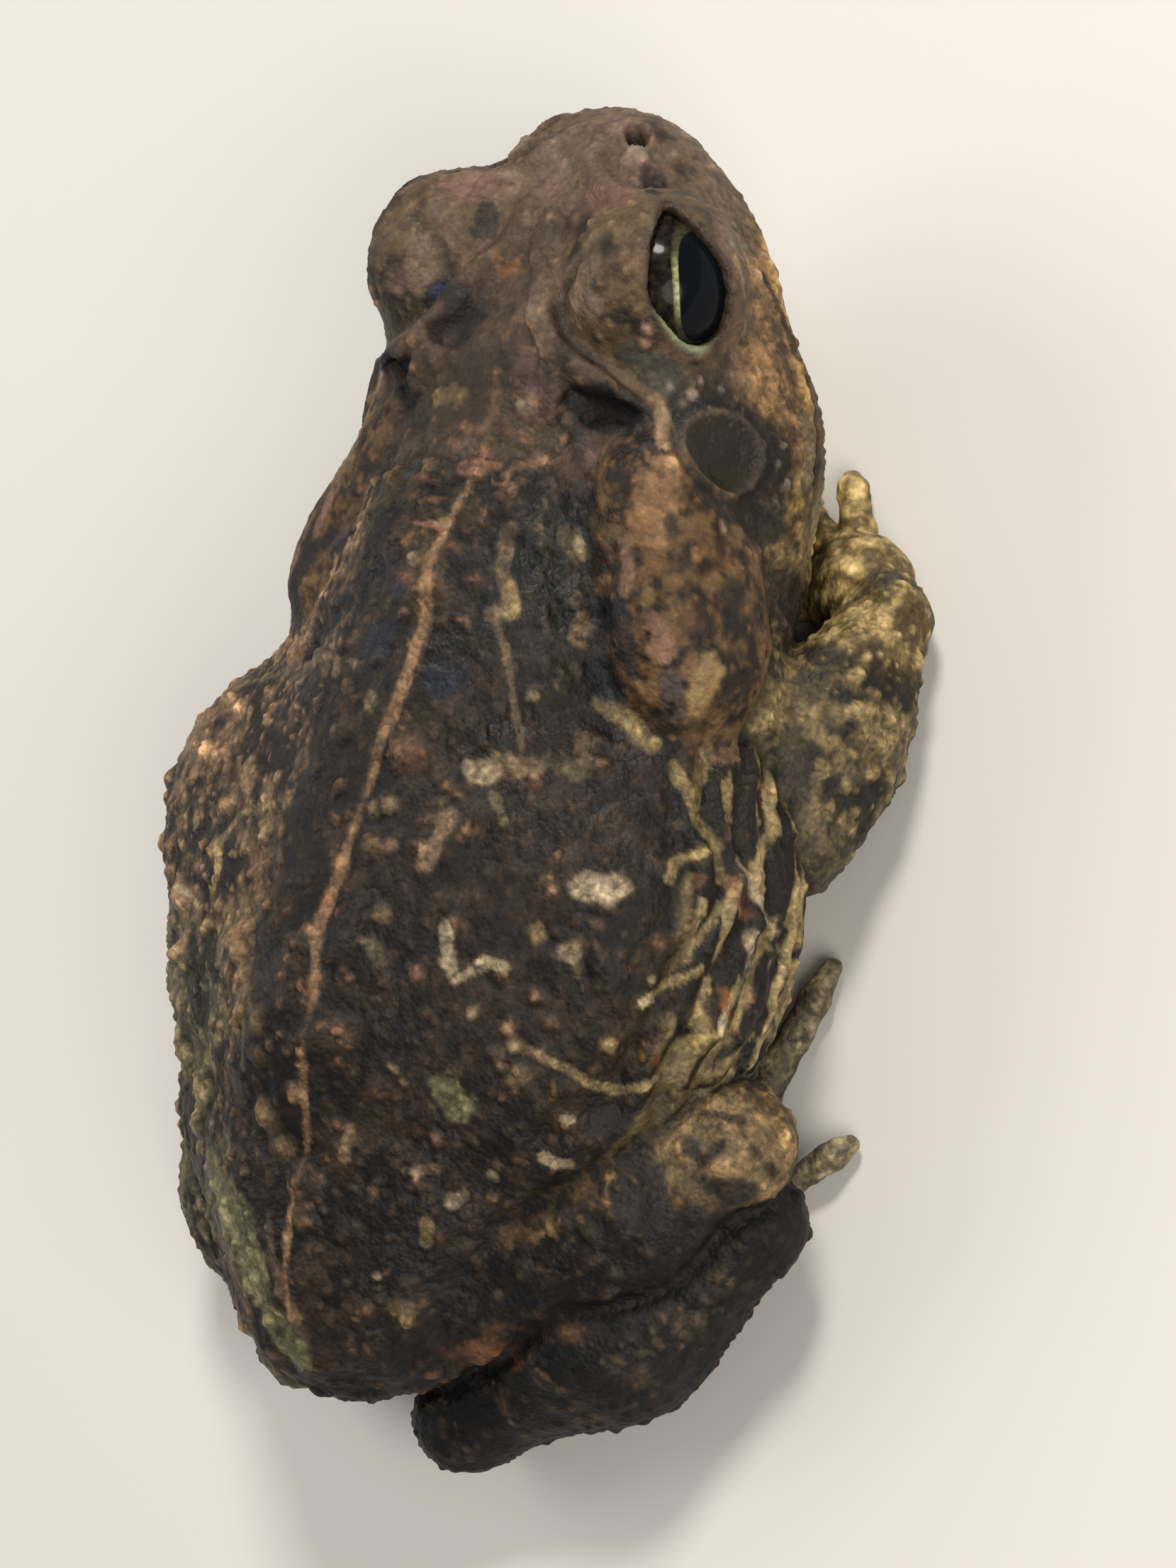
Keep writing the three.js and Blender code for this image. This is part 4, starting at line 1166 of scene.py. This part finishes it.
def lay_marks(places, tone, marks, texture, sides=(1,)):
    """Lays on marks, each a colour, half a width and a line, with some of the skin's texture in them."""
    for n, (colour, width, line) in enumerate(marks):
        for side in sides:
            mark = places.strip(traced(line, side), width, n)
            lay(tone, colour * (0.8 + 0.1 * math.sin(n * 2.4)), mark * texture)


def lay_patches(places, tone, patches, sides):
    for colour, (out, forward, up), size, stretch, seed, strength in patches:
        for side in sides:
            patch = places.patch(at(out * side, forward, up), size, stretch, seed)
            lay(tone, tint(colour), patch * strength)


def paint_back(places, tone, grain, fine):
    p = places.p
    trunk = places.trunk

    # Warts differ: some are rusty, some paler than the ground
    near, _, own = places.warts
    tip = trunk * smooth(1.0, 0.3, near)
    lay(tone, mix(BROWN, RUST, 0.4), tip * (own < 0.22) * 0.4)
    lay(tone, mix(BROWN, SAND, 0.4), tip * (own > 0.75) * 0.45)
    near, _, own = places.tubercles
    lay(tone, mix(BROWN, PINK, 0.6), trunk * smooth(0.9, 0.3, near) * (own < 0.14) * 0.4)
    lay(tone, tint("8a7a5c"), trunk * smooth(0.8, 0.3, near) * (own > 0.9) * 0.6)

    # Marbled streaks along the flanks, breaking up towards the back
    down, turn, flank = places.flank()
    flank = flank * smooth(0, 3, down - 20 - 4 * smooth(0, 0.9, turn))
    marble = noise(np.stack([down * 1.1, turn * 4.4, 0 * down], 1), 0.85, 311)
    marble = marble + 0.5 * rough(p, 1.8, 321)
    strong = np.where(places.right > 0, 0.6, 0.85) * (1 - 0.75 * smooth(0.35, 0.8, turn))
    lay(tone, mix(BROWN, SAND, 0.85), flank * smooth(0.1, 0.28, marble) * strong)
    lay(tone, mix(SAND, PALE, 0.2), flank * smooth(0.32, 0.6, marble) * strong * 0.6)
    lay(tone, DARK, flank * smooth(0.05, -0.2, marble) * 0.75)
    lay(tone, ORANGE, flank * smooth(0.4, 0.75, rough(p, 2.6, 331)) * 0.4)

    lay_marks(places, tone, MARKS, 0.45 + 0.5 * smooth(-0.2, 0.7, grain + 0.7 * fine))

    # The line down the back, with orange clusters of granules beside it
    far = off_line(p, places.brought_to_skin(STRIPE))
    forward = places.forward
    thick = 0.27 + 0.22 * smooth(15, 12, forward) * smooth(-5, 1, forward)
    thick = thick + 0.25 * smooth(-9, -12, forward) * smooth(-19, -16, forward)
    broken = smooth(-0.9, -0.25, noise(p, 2.2, 411) + 0.6 * grain)
    lay(tone, tint("7f6247"), smooth(1.35, 0.7, far / thick + 0.4 * fine) * broken * 0.85)
    beside = smooth(4.5, 1.5, far + 1.5 * noise(p, 3, 421))
    lay(tone, tint("6a4e38"), beside * smooth(0.35, 0.8, grain + 0.4 * fine) * 0.55)
    wrinkles = nape_of(places) * smooth(0.2, 0.9, wrinkle_of(places) + 0.3 * fine)
    lay(tone, tint("7a543f"), wrinkles * smooth(5, 2, far + 1.2 * noise(p, 2.5, 451)) * 0.7)
    for n, (right, forward, size) in enumerate(CLUSTERS):
        cluster = places.patch(at(right, forward, 32.6), size, (1, 1, 3), 50 + n)
        cluster = cluster * smooth(-0.1, 0.45, grain + 0.5 * fine)
        lay(tone, mix(ORANGE, TAN, 0.3 + 0.4 * (n % 2)), cluster * 0.8)

    # Painted shade: the grooves are darkened blue-black
    for line, width, _ in GROOVES:
        lay(tone, BLUE, near_line(p, traced(line), width * 1.2) * 0.9)
    for n, (right, forward, up, size) in enumerate(BLOTS):
        lay(tone, BLUE, places.patch(at(right, forward, up), size, seed=400 + n) * 0.85)


def paint_glands(places, tone, fine):
    p = places.p
    glands = places.glands
    lay(tone, tint("7d6342"), glands * smooth(0.05, 0.6, rough(p, 1.9, 431) + 0.25 * fine) * 0.45)
    lay(tone, tint("2e2620"), glands * smooth(0.2, 0.7, rough(p, 2.6, 441)) * 0.45)
    lay_marks(places, tone, GLAND_MARKS, 0.8 * smooth(-1.3, -0.3, 0.6 + fine), SIDES)
    # Pores, most of them in the rear half
    near, _, own = places.pores
    strength = np.where(places.forward < 15, 0.85, 0.45 * (own < 0.5))
    lay(tone, tint("1d140e"), glands * smooth(1.35, 0.6, near) * strength)


def paint_limbs(places, tone, grain, fine):
    p = places.p
    # Blotches of the arms, and a pale wart on the right elbow
    blotch = smooth(0.16, 0.42, rough(p, 3.2, 201) + 0.25 * fine)
    lay(tone, tint("2f2a22"), places.arms * blotch * 0.75)
    elbow = np.zeros(len(p))
    for side in SIDES:
        elbow = np.maximum(elbow, places.patch(arm_pose(side)[1], 6.5, (1, 1, 1.4), 60))
    lay(tone, tint("3f372c"), places.arms * elbow * 0.6)
    lay(tone, PALE, places.patch(at(27.2, 1.6, 11.5), 0.8, seed=61))

    # Dark spots of the thighs
    near, _, _ = spots(p, 3.2, 221, 0.6, 1.3, 0.9)
    near = near + 0.25 * noise(p, 0.9, 231)
    spotted = np.maximum(places.thighs * (places.right < 0), places.arms * 0.35)
    lay(tone, SLATE, spotted * smooth(1.1, 0.75, near) * 0.85)
    near, _, _ = spots(p, 1.5, 261, 0.2, 0.42, 0.7)
    lay(tone, tint("4d3f2b"), places.thighs * smooth(1.2, 0.7, near) * 0.6)
    knee = places.patch(at(27.5, -23.5, 15.5), 4.6, seed=62)
    lay(tone, tint("9a8460"), places.thighs * knee * 0.25)
    lay_marks(places, tone, THIGH_MARKS, 0.9 * smooth(-1.3, -0.3, 1 + fine))

    # Bars across the top of the shanks
    for side in SIDES:
        _, _, bend, heel = leg_pose(side)
        run = run_along(p, bend, heel) * 5.5 + 0.35 * noise(p, 3, 251)
        bar = smooth(-0.2, 0.5, np.sin(run * 2 * math.pi)) * smooth(8, 11.5, places.up)
        bar = bar * places.shanks * (places.right * side > 0)
        lay(tone, tint("4c3d2b"), bar * smooth(-0.3, 0.4, grain + 0.5 * fine - 0.2) * 0.75)

    # Rusty lumps along the top of the right shank, the wart behind it, and a greenish part of the left
    ridge_line = [at(20, -39, 15.5), at(15.5, -41.5, 17), at(11.8, -43.6, 16.6)]
    rusty = places.strip(ridge_line, 1.5, 70) * smooth(-0.2, 0.3, rough(p, 1.8, 241))
    lay(tone, mix(RUST, BROWN, 0.5), rusty * 0.55)
    lay(tone, mix(RUST, BROWN, 0.35), places.patch(at(12.4, -43.4, 15.6), 2.2, (1.3, 1, 1.2), 71) * 0.6)
    greenish = places.patch(at(-16, -40, 9), 5, (1, 1, 1.2), 72) * smooth(-0.2, 0.4, fine)
    lay(tone, tint("5f6040"), greenish * 0.4)


def paint_head(places, tone, fine):
    p = places.p
    head = places.head

    # The crown, the crests and the snout
    pinkish = head * smooth(0.1, 0.55, rough(p, 3.2, 131)) * smooth(24, 27, places.up)
    lay(tone, tint("745a50"), pinkish * 0.5)
    lay(tone, tint("4a3b30"), head * smooth(0.15, 0.5, rough(p, 1.9, 141)) * 0.45)
    between = head * smooth(4.6, 2.4, np.abs(places.right))
    between = between * smooth(42, 38, places.forward) * smooth(25, 28, places.up)
    lay(tone, tint("33281e"), between * 0.6)
    lay_patches(places, tone, CROWN_PATCHES, SIDES)
    # Painted shade: the groove round each lid and the hollow beside each crest are darkened, the left
    # hollow more
    for side, strength in ((1, 0.35), (-1, 0.85)):
        lay(tone, tint("221b17"), near_line(p, lid_groove(side), 0.6) * 0.7)
        shade_beside_crest = places.patch(at(4.2 * side, 38.4, 31.8), 1.1, (1, 1.6, 1), 87)
        lay(tone, tint("1b1613"), shade_beside_crest * strength)
    lay_patches(places, tone, SNOUT_PATCHES, SIDES)
    lay_patches(places, tone, LEFT_PAINTED_SHADE_AND_REFLECTION, (-1,))

    # The jaws and the pale lip
    above_mouth = places.up - mouth_height(places.forward)
    jaws = head * smooth(24, 28, places.forward)
    lay(tone, tint("3d3022"), smooth(0.3, -0.4, above_mouth) * smooth(8, 12, places.up) * jaws * 0.8)
    on_lip = np.exp(-((above_mouth - 1.1) / 0.6) ** 2)
    on_lip = on_lip * smooth(29, 32, places.forward) * smooth(46, 42, places.forward)
    lay(tone, LIP, on_lip * jaws * smooth(-0.9, 0.1, 0.4 + fine) * 0.8)

    # Marks and tubercles of the cheeks
    lay_marks(places, tone, HEAD_MARKS, 0.85 * smooth(-1.3, -0.3, 0.8 + fine), SIDES)
    for side in SIDES:
        for colour, size, beads in BEADS:
            for place in traced(beads, side):
                lay(tone, tint(colour), places.bead(place, size) * 1.3)
    near, _, own = places.tubercles
    beside_drum = smooth(2.6, 1.6, places.ears) * smooth(1.15, 1.3, places.ears)
    lay(tone, tint("8b7b70"), beside_drum * smooth(0.9, 0.4, near) * (own > 0.35) * 0.75)

    # Ear drums, the rims of the lids, the mouth and the nostrils
    ears = places.ears
    lay(tone, DRUM * (1 + 0.12 * fine[:, None]), smooth(1.08, 0.96, ears))
    lay(tone, tint("473d33"), np.exp(-((ears - 1.05) / 0.07) ** 2) * 0.6)
    lay(tone, tint("0f0d0c"), np.exp(-((ears - 1.28) / 0.1) ** 2) * 0.7)
    rear = rear_corner(p)
    lay(tone, tint("808d6c"), places.rims ** 1.5 * rear * 0.9)
    # Painted shade: each lid's rim is darkened where it meets the eyeball, except at the rear corner
    lay(tone, tint("241d18"), places.rims * (1 - rear) * 0.75)
    lay(tone, tint("0c0a09"), places.mouth * 0.85)
    for far in nostrils(p):
        lay(tone, tint("050404"), np.exp(-(far / 0.95) ** 4))


def rear_corner(p):
    """The part of each lid's rim that is at the back of the eye."""
    total = np.zeros(len(p))
    for eye in EYES.values():
        q = (p - eye.centre) / EYE_RADIUS
        total = np.maximum(total, smooth(-0.25, -0.5, q @ eye.ahead) * smooth(-0.35, -0.1, q @ eye.rise)
                           * (np.linalg.norm(q, axis=1) < 1.4))
    return total


def wetness(places):
    """How much the skin shines."""
    wet = 0.45 + 0.3 * rough(places.p, 5, 501) + 0.3 * places.rims
    return np.clip(wet + 0.2 * smooth(1.05, 0.95, places.ears), 0, 1)


def coarseness(places):
    """How strongly the fine grain of the skin shows."""
    smoother = 0.5 * places.crown + 0.45 * places.glands + 0.3 * places.hands
    smoother = smoother + 0.5 * smooth(1.1, 1.0, places.ears)
    return np.clip(1 - smoother, 0.15, 1)


# Meshes


SMOOTHING_ROUNDS = 3
SMOOTHING_SHARE = 0.5
# The farthest a point is moved back to the forms after each round of smoothing
LARGEST_RETURN = 0.3


def build_surface(clay):
    """The lattice's surface as evenly spaced quads."""
    grid = openvdb.FloatGrid()
    grid.background = OUTSIDE
    grid.copyFromArray(clay.field)
    points, quads = grid.convertToQuads(0.0)
    p = points.astype(float) * PITCH + LOW
    quads = keep_largest(len(p), quads.astype(np.int64))
    used = np.unique(quads)
    rank = np.full(len(p), -1)
    rank[used] = np.arange(len(used))
    p, quads = p[used], rank[quads]
    edges = np.concatenate([quads[:, (0, 1)], quads[:, (1, 2)], quads[:, (2, 3)], quads[:, (3, 0)]])
    count = np.bincount(edges.ravel(), minlength=len(p))
    for _ in range(SMOOTHING_ROUNDS):
        around = [np.bincount(edges[:, 0], p[edges[:, 1], i], len(p))
                  + np.bincount(edges[:, 1], p[edges[:, 0], i], len(p)) for i in range(3)]
        p = mix(p, np.stack(around, 1) / count[:, None], SMOOTHING_SHARE)
        back = np.clip(clay.sample(p), -LARGEST_RETURN, LARGEST_RETURN)
        p -= clay.slope(p, 0.3) * back[:, None]
    return p, quads


def labels_of(count, pairs):
    """Gives each thing the lowest number among all that it is joined to by pairs."""
    label = np.arange(count)
    while True:
        low = np.minimum(label[pairs[:, 0]], label[pairs[:, 1]])
        before = label.copy()
        np.minimum.at(label, pairs[:, 0], low)
        np.minimum.at(label, pairs[:, 1], low)
        label = label[label]
        if np.array_equal(label, before):
            return label


def keep_largest(count, quads):
    pairs = np.concatenate([quads[:, (0, 1)], quads[:, (1, 2)], quads[:, (2, 3)]])
    label = labels_of(count, pairs)
    sizes = np.bincount(label, minlength=count)
    return quads[label[quads[:, 0]] == np.argmax(sizes)]


def make_mesh(name, p, faces):
    mesh = bpy.data.meshes.new(name)
    corners = faces.shape[1]
    mesh.vertices.add(len(p))
    mesh.vertices.foreach_set("co", (p / PER_METRE).astype(np.float32).ravel())
    mesh.loops.add(faces.size)
    mesh.loops.foreach_set("vertex_index", faces.astype(np.int32).ravel())
    mesh.polygons.add(len(faces))
    mesh.polygons.foreach_set("loop_start", np.arange(0, faces.size, corners, dtype=np.int32))
    mesh.polygons.foreach_set("loop_total", np.full(len(faces), corners, np.int32))
    mesh.update(calc_edges=True)
    mesh.validate()
    mesh.shade_smooth()
    return placed(name, mesh)


def placed(name, data):
    """An object of its own in the scene, with this mesh, light or camera."""
    thing = bpy.data.objects.new(name, data)
    bpy.context.scene.collection.objects.link(thing)
    return thing


def give(piece, name, values, kind):
    """Stores a number, colour or direction on each vertex."""
    layer = piece.data.attributes.new(name, kind, "POINT")
    key = {"FLOAT": "value", "FLOAT_COLOR": "color", "FLOAT_VECTOR": "vector"}[kind]
    if kind == "FLOAT_COLOR":
        values = np.concatenate([values, np.ones((len(values), 1))], 1)
    layer.data.foreach_set(key, values.astype(np.float32).ravel())


# How far apart the charts lie, in millimetres, and how much wider than their area their sheet is
CHART_GAP = 0.6
SHEET_ROOM = 1.18


def unwrap(piece, p, quads, normal):
    """Lays the skin out flat for baking: charts that face one way each, packed side by side."""
    faces = normal[quads].mean(1)
    axis = np.argmax(np.abs(faces), 1)
    facing = axis * 2 + (np.take_along_axis(faces, axis[:, None], 1)[:, 0] > 0)
    edges = np.concatenate([quads[:, (i, (i + 1) % 4)] for i in range(4)])
    edges.sort(1)
    owner = np.tile(np.arange(len(quads)), 4)
    order = np.lexsort((edges[:, 1], edges[:, 0]))
    edges, owner = edges[order], owner[order]
    same = np.all(edges[1:] == edges[:-1], 1)
    pairs = np.stack([owner[:-1][same], owner[1:][same]], 1)
    pairs = pairs[facing[pairs[:, 0]] == facing[pairs[:, 1]]]
    _, chart = np.unique(labels_of(len(quads), pairs), return_inverse=True)
    corner = p[quads]
    flat = np.stack([np.where(axis[:, None] == 0, corner[:, :, 1], corner[:, :, 0]),
                     np.where(axis[:, None] == 2, corner[:, :, 1], corner[:, :, 2])], 2)
    count = chart.max() + 1
    low = np.full((count, 2), 1e9)
    high = np.full((count, 2), -1e9)
    np.minimum.at(low, chart, flat.min(1))
    np.maximum.at(high, chart, flat.max(1))
    size = high - low + CHART_GAP
    width = math.sqrt(size.prod(1).sum()) * SHEET_ROOM
    place = np.zeros((count, 2))
    x = y = row = 0.0
    for n in np.argsort(-size[:, 1], kind="stable"):
        if x + size[n, 0] > width:
            x, y, row = 0.0, y + row, 0.0
        place[n] = x, y
        x += size[n, 0]
        row = max(row, size[n, 1])
    uv = (flat - low[chart][:, None] + place[chart][:, None] + CHART_GAP / 2) / max(width, y + row)
    layer = piece.data.uv_layers.new(name="OFBake")
    layer.data.foreach_set("uv", uv.astype(np.float32).ravel())


# Materials


class Nodes:
    """A material and what its nodes are made with."""

    def __init__(self, name):
        self.material = bpy.data.materials.new(name)
        self.material.use_nodes = True
        self.tree = self.material.node_tree
        self.shader = self.tree.nodes["Principled BSDF"]

    def add(self, kind, settings=None, **inputs):
        node = self.tree.nodes.new(kind)
        for key, value in (settings or {}).items():
            setattr(node, key, value)
        for key, value in inputs.items():
            socket = node.inputs[int(key[1:]) if key[1:].isdigit() else key.replace("_", " ")]
            if isinstance(value, bpy.types.NodeSocket):
                self.tree.links.new(value, socket)
            else:
                socket.default_value = value
        return node

    def link(self, value, socket):
        self.tree.links.new(value, self.shader.inputs[socket])

    def attribute(self, name):
        return self.add("ShaderNodeAttribute", {"attribute_name": name})

    def noise(self, scale, detail=2.0):
        place = self.add("ShaderNodeTexCoord").outputs["Object"]
        return self.add("ShaderNodeTexNoise", Vector=place, Scale=scale, Detail=detail).outputs["Fac"]

    def cells(self, scale):
        """How far each point is from its cell's middle, and a number that differs between cells."""
        place = self.add("ShaderNodeTexCoord").outputs["Object"]
        node = self.add("ShaderNodeTexVoronoi", None, Vector=place, Scale=scale)
        return node.outputs["Distance"], node.outputs["Color"]

    def ramp(self, value, low, high, to_low, to_high):
        node = self.add("ShaderNodeMapRange", Value=value)
        names = ("From Min", "From Max", "To Min", "To Max")
        for name, number in zip(names, (low, high, to_low, to_high)):
            node.inputs[name].default_value = number
        return node.outputs["Result"]

    def grey(self, value):
        return self.add("ShaderNodeCombineColor", None, Red=value, Green=value, Blue=value).outputs[0]

    def mixed(self, a, b, share, blend="MIX"):
        node = self.add("ShaderNodeMix", {"data_type": "RGBA", "blend_type": blend})
        for index, value in ((0, share), (6, a), (7, b)):
            if isinstance(value, bpy.types.NodeSocket):
                self.tree.links.new(value, node.inputs[index])
            else:
                node.inputs[index].default_value = value
        return node.outputs[2]

    def bump(self, height, strength, distance, below=None):
        node = self.add("ShaderNodeBump", Height=height, Strength=strength, Distance=distance)
        if below is not None:
            self.tree.links.new(below, node.inputs["Normal"])
        return node.outputs["Normal"]


def skin_material():
    nodes = Nodes("toad_skin")
    tone = nodes.attribute("tone").outputs["Color"]
    coarse = nodes.attribute("coarse").outputs["Fac"]
    beads, own = nodes.cells(900)
    grit, own_grit = nodes.cells(2600)
    shades = [
        nodes.ramp(nodes.noise(2200, 4), 0.3, 0.7, 0.65, 1.35),
        # Painted light and shade: lighter on the middle of each bead, darker between the beads
        nodes.ramp(beads, 0.2, 0.8, 1.12, 0.78),
        nodes.ramp(own, 0.2, 0.8, 0.7, 1.32),
        nodes.ramp(own_grit, 0.2, 0.8, 0.78, 1.24),
    ]
    for shade in shades:
        tone = nodes.mixed(tone, nodes.mixed(tone, nodes.grey(shade), 1.0, "MULTIPLY"), coarse)
    nodes.link(tone, "Base Color")
    wet = nodes.attribute("wet").outputs["Fac"]
    nodes.link(nodes.ramp(wet, 0, 1, 0.75, 0.36), "Roughness")
    nodes.shader.inputs["Specular IOR Level"].default_value = 0.25
    normal = nodes.bump(beads, 0.4, -0.0003)
    normal = nodes.bump(grit, 0.5, -0.00014, normal)
    normal = nodes.bump(nodes.noise(5200, 3), 0.45, 0.00008, normal)
    nodes.link(normal, "Normal")
    return nodes.material


def eye_material():
    """A wet eye: a long pupil, a bright gold line round it and a dark, veined iris."""
    nodes = Nodes("toad_eye")
    gaze = nodes.attribute("gaze")
    parts = nodes.add("ShaderNodeSeparateXYZ", None, Vector=gaze.outputs["Vector"])
    edge, height, along = (parts.outputs[name] for name in "XYZ")
    veins = nodes.ramp(nodes.noise(1900, 4), 0.42, 0.62, 0, 1)
    iris = nodes.mixed((0.006, 0.005, 0.004, 1), (0.02, 0.015, 0.009, 1), veins)
    gold = nodes.mixed((0.2, 0.2, 0.07, 1), (0.5, 0.52, 0.26, 1), nodes.noise(2400, 2))
    strength = nodes.ramp(edge, 1.19, 1.1, 0, 1)
    # The gold fades at random, towards the ends of the opening, and on the lower side as painted shade
    shares = [
        nodes.ramp(height, -0.1, 0.3, 0.06, 1),
        nodes.ramp(along, -0.46, -0.1, 0.08, 1),
        nodes.ramp(along, 0.2, 0.5, 1, 0.12),
        nodes.ramp(nodes.noise(3000, 2), 0.35, 0.6, 0.45, 1),
    ]
    for share in shares:
        strength = nodes.add("ShaderNodeMath", {"operation": "MULTIPLY"}, _0=strength, _1=share).outputs[0]
    iris = nodes.mixed(iris, gold, strength)
    pupil = nodes.ramp(edge, 1.0, 1.03, 1, 0)
    nodes.link(nodes.mixed(iris, (0.003, 0.004, 0.006, 1), pupil), "Base Color")
    nodes.shader.inputs["Roughness"].default_value = 0.2
    nodes.shader.inputs["Specular IOR Level"].default_value = 0.05
    nodes.shader.inputs["Coat Weight"].default_value = 0.08
    nodes.shader.inputs["Coat Roughness"].default_value = 0.03
    nodes.link(nodes.bump(nodes.noise(2200, 2), 0.06, 0.00005), "Normal")
    return nodes.material


# The pieces


def build_skin():
    clay = build_lattice()
    p, quads = build_surface(clay)
    normal = clay.slope(p)
    places = Places(p)
    height = relief(places)
    tone = paint(places, height)
    # Nothing goes below the floor, and the flats of the underside stay flat
    lift = height * smooth(0.15, 1.2, places.up)
    shaped = p + normal * lift[:, None]
    shaped[:, 2] = np.maximum(shaped[:, 2], 0)
    skin = make_mesh("skin", shaped, quads)
    give(skin, "tone", tone, "FLOAT_COLOR")
    give(skin, "wet", wetness(places), "FLOAT")
    give(skin, "coarse", coarseness(places), "FLOAT")
    unwrap(skin, p, quads, normal)
    skin.data.materials.append(skin_material())
    return skin


def build_eye(side):
    """An eyeball with a slightly raised cornea."""
    eye = EYES[side]
    rings, turns = 72, 120
    a = np.linspace(0, math.pi, rings + 1)
    b = np.linspace(0, 2 * math.pi, turns, endpoint=False)
    a, b = np.meshgrid(a[1:-1], b, indexing="ij")
    local = np.stack([np.sin(a) * np.cos(b), np.sin(a) * np.sin(b), np.cos(a)], 2).reshape(-1, 3)
    local = np.concatenate([local, [[0, 0, 1], [0, 0, -1]]])
    out, ahead, up = eye.directions(PUPIL_LIFT)
    raised = 1 + CORNEA_RISE * smooth(0.55, 0.9, local[:, 2])
    shape = local * raised[:, None] * (EYE_RADIUS - EYE_GAP)
    p = eye.centre + shape[:, :1] * ahead + shape[:, 1:2] * up + shape[:, 2:] * out
    faces = []
    for i in range(rings - 2):
        for j in range(turns):
            k = (j + 1) % turns
            faces.append((i * turns + j, (i + 1) * turns + j, (i + 1) * turns + k, i * turns + k))
    faces = np.array(faces)
    top, bottom = len(p) - 2, len(p) - 1
    last = (rings - 2) * turns
    caps = [(top, j, (j + 1) % turns) for j in range(turns)]
    caps += [(bottom, last + (j + 1) % turns, last + j) for j in range(turns)]
    mesh = bpy.data.meshes.new(f"eyeball_{'right' if side > 0 else 'left'}")
    turned = faces if side > 0 else faces[:, ::-1]
    closed = [face if side > 0 else face[::-1] for face in caps]
    mesh.from_pydata((p / PER_METRE).tolist(), [], turned.tolist() + closed)
    mesh.validate()
    mesh.shade_smooth()
    piece = placed(mesh.name, mesh)
    along, across = np.abs(local[:, 0]) / PUPIL_LENGTH, np.abs(local[:, 1]) / PUPIL_HEIGHT
    oval = (along ** PUPIL_SQUARENESS + across ** PUPIL_SQUARENESS) ** (1 / PUPIL_SQUARENESS)
    oval = np.where(local[:, 2] > 0, oval, 9)
    give(piece, "gaze", np.stack([oval, local[:, 1], local[:, 0]], 1), "FLOAT_VECTOR")
    return piece


skin = build_skin()
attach(skin, "root")
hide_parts(*[name for name in sorted(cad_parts) if not name.startswith("eye_")])
for side, name in ((1, "right"), (-1, "left")):
    eyeball = build_eye(side)
    eyeball.data.materials.append(eye_material())
    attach(eyeball, "root")
    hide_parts(f"eye_{name}")


# Floor, light and camera


FLOOR_REACH = 1.5
FLOOR_DROP = 0.0002
LIGHT_TARGET = np.array([0, 0, 0.02])
# Where each light is, its size, power and colour
LIGHTS = [
    ("key", (-0.06, -0.36, 0.4), 0.12, 2.3, (1.0, 0.95, 0.88)),
    ("right", (-0.36, 0.1, 0.28), 0.3, 1.5, (1.0, 0.95, 0.88)),
    ("left", (0.34, 0.0, 0.32), 0.36, 0.9, (1.0, 0.97, 0.92)),
]
SKY_COLOUR, SKY_STRENGTH = (0.92, 0.94, 1.0, 1), 0.28
# The camera looks down on the back from the animal's right, from about a quarter of a metre away
CAMERA_PLACE = np.array([-0.14480, 0.01181, 0.21123])
CAMERA_BACK = np.array([-0.57358, 0.04884, 0.81769])
CAMERA_UP = np.array([0.19788, -0.96040, 0.19616])
SENSOR_WIDTH, LENS = 36.0, 71.76


def build_floor():
    mesh = bpy.data.meshes.new("floor")
    corners = [(x * FLOOR_REACH, y * FLOOR_REACH, 0) for x, y in ((-1, -1), (1, -1), (1, 1), (-1, 1))]
    mesh.from_pydata(corners, [], [(0, 1, 2, 3)])
    floor = placed("floor", mesh)
    floor.location.z = -FLOOR_DROP
    nodes = Nodes("floor")
    cloud = nodes.ramp(nodes.noise(9, 2), 0, 1, 0.97, 1.03)
    tone = nodes.mixed((0.6, 0.58, 0.55, 1), nodes.grey(cloud), 1.0, "MULTIPLY")
    nodes.link(tone, "Base Color")
    nodes.shader.inputs["Roughness"].default_value = 0.8
    mesh.materials.append(nodes.material)


def add_light(name, place, size, power, colour):
    data = bpy.data.lights.new(name, "AREA")
    data.shape = "DISK"
    data.size = size
    data.energy = power
    data.color = colour
    away = np.array(place) - LIGHT_TARGET
    aim(placed(name, data), place, away / np.linalg.norm(away), np.array([0, 0, 1.0]))


def aim(thing, place, back, up):
    """Points a light or camera, which look along their own -Z."""
    right = np.cross(up, back)
    right /= np.linalg.norm(right)
    top = np.cross(back, right)
    matrix = np.eye(4)
    matrix[:3, 0], matrix[:3, 1], matrix[:3, 2], matrix[:3, 3] = right, top, back, place
    thing.matrix_world = Matrix(matrix.tolist())


def build_lights():
    for light in LIGHTS:
        add_light(*light)
    bpy.context.scene.view_settings.view_transform = "Standard"
    world = bpy.data.worlds.new("studio")
    bpy.context.scene.world = world
    world.use_nodes = True
    sky = world.node_tree.nodes["Background"]
    sky.inputs["Color"].default_value = SKY_COLOUR
    sky.inputs["Strength"].default_value = SKY_STRENGTH


def build_camera():
    data = bpy.data.cameras.new("camera")
    data.sensor_width = SENSOR_WIDTH
    data.lens = LENS
    data.clip_start = 0.01
    data.clip_end = 20.0
    camera = placed("camera", data)
    aim(camera, CAMERA_PLACE, CAMERA_BACK, CAMERA_UP)
    bpy.context.scene.camera = camera


build_floor()
build_lights()
build_camera()
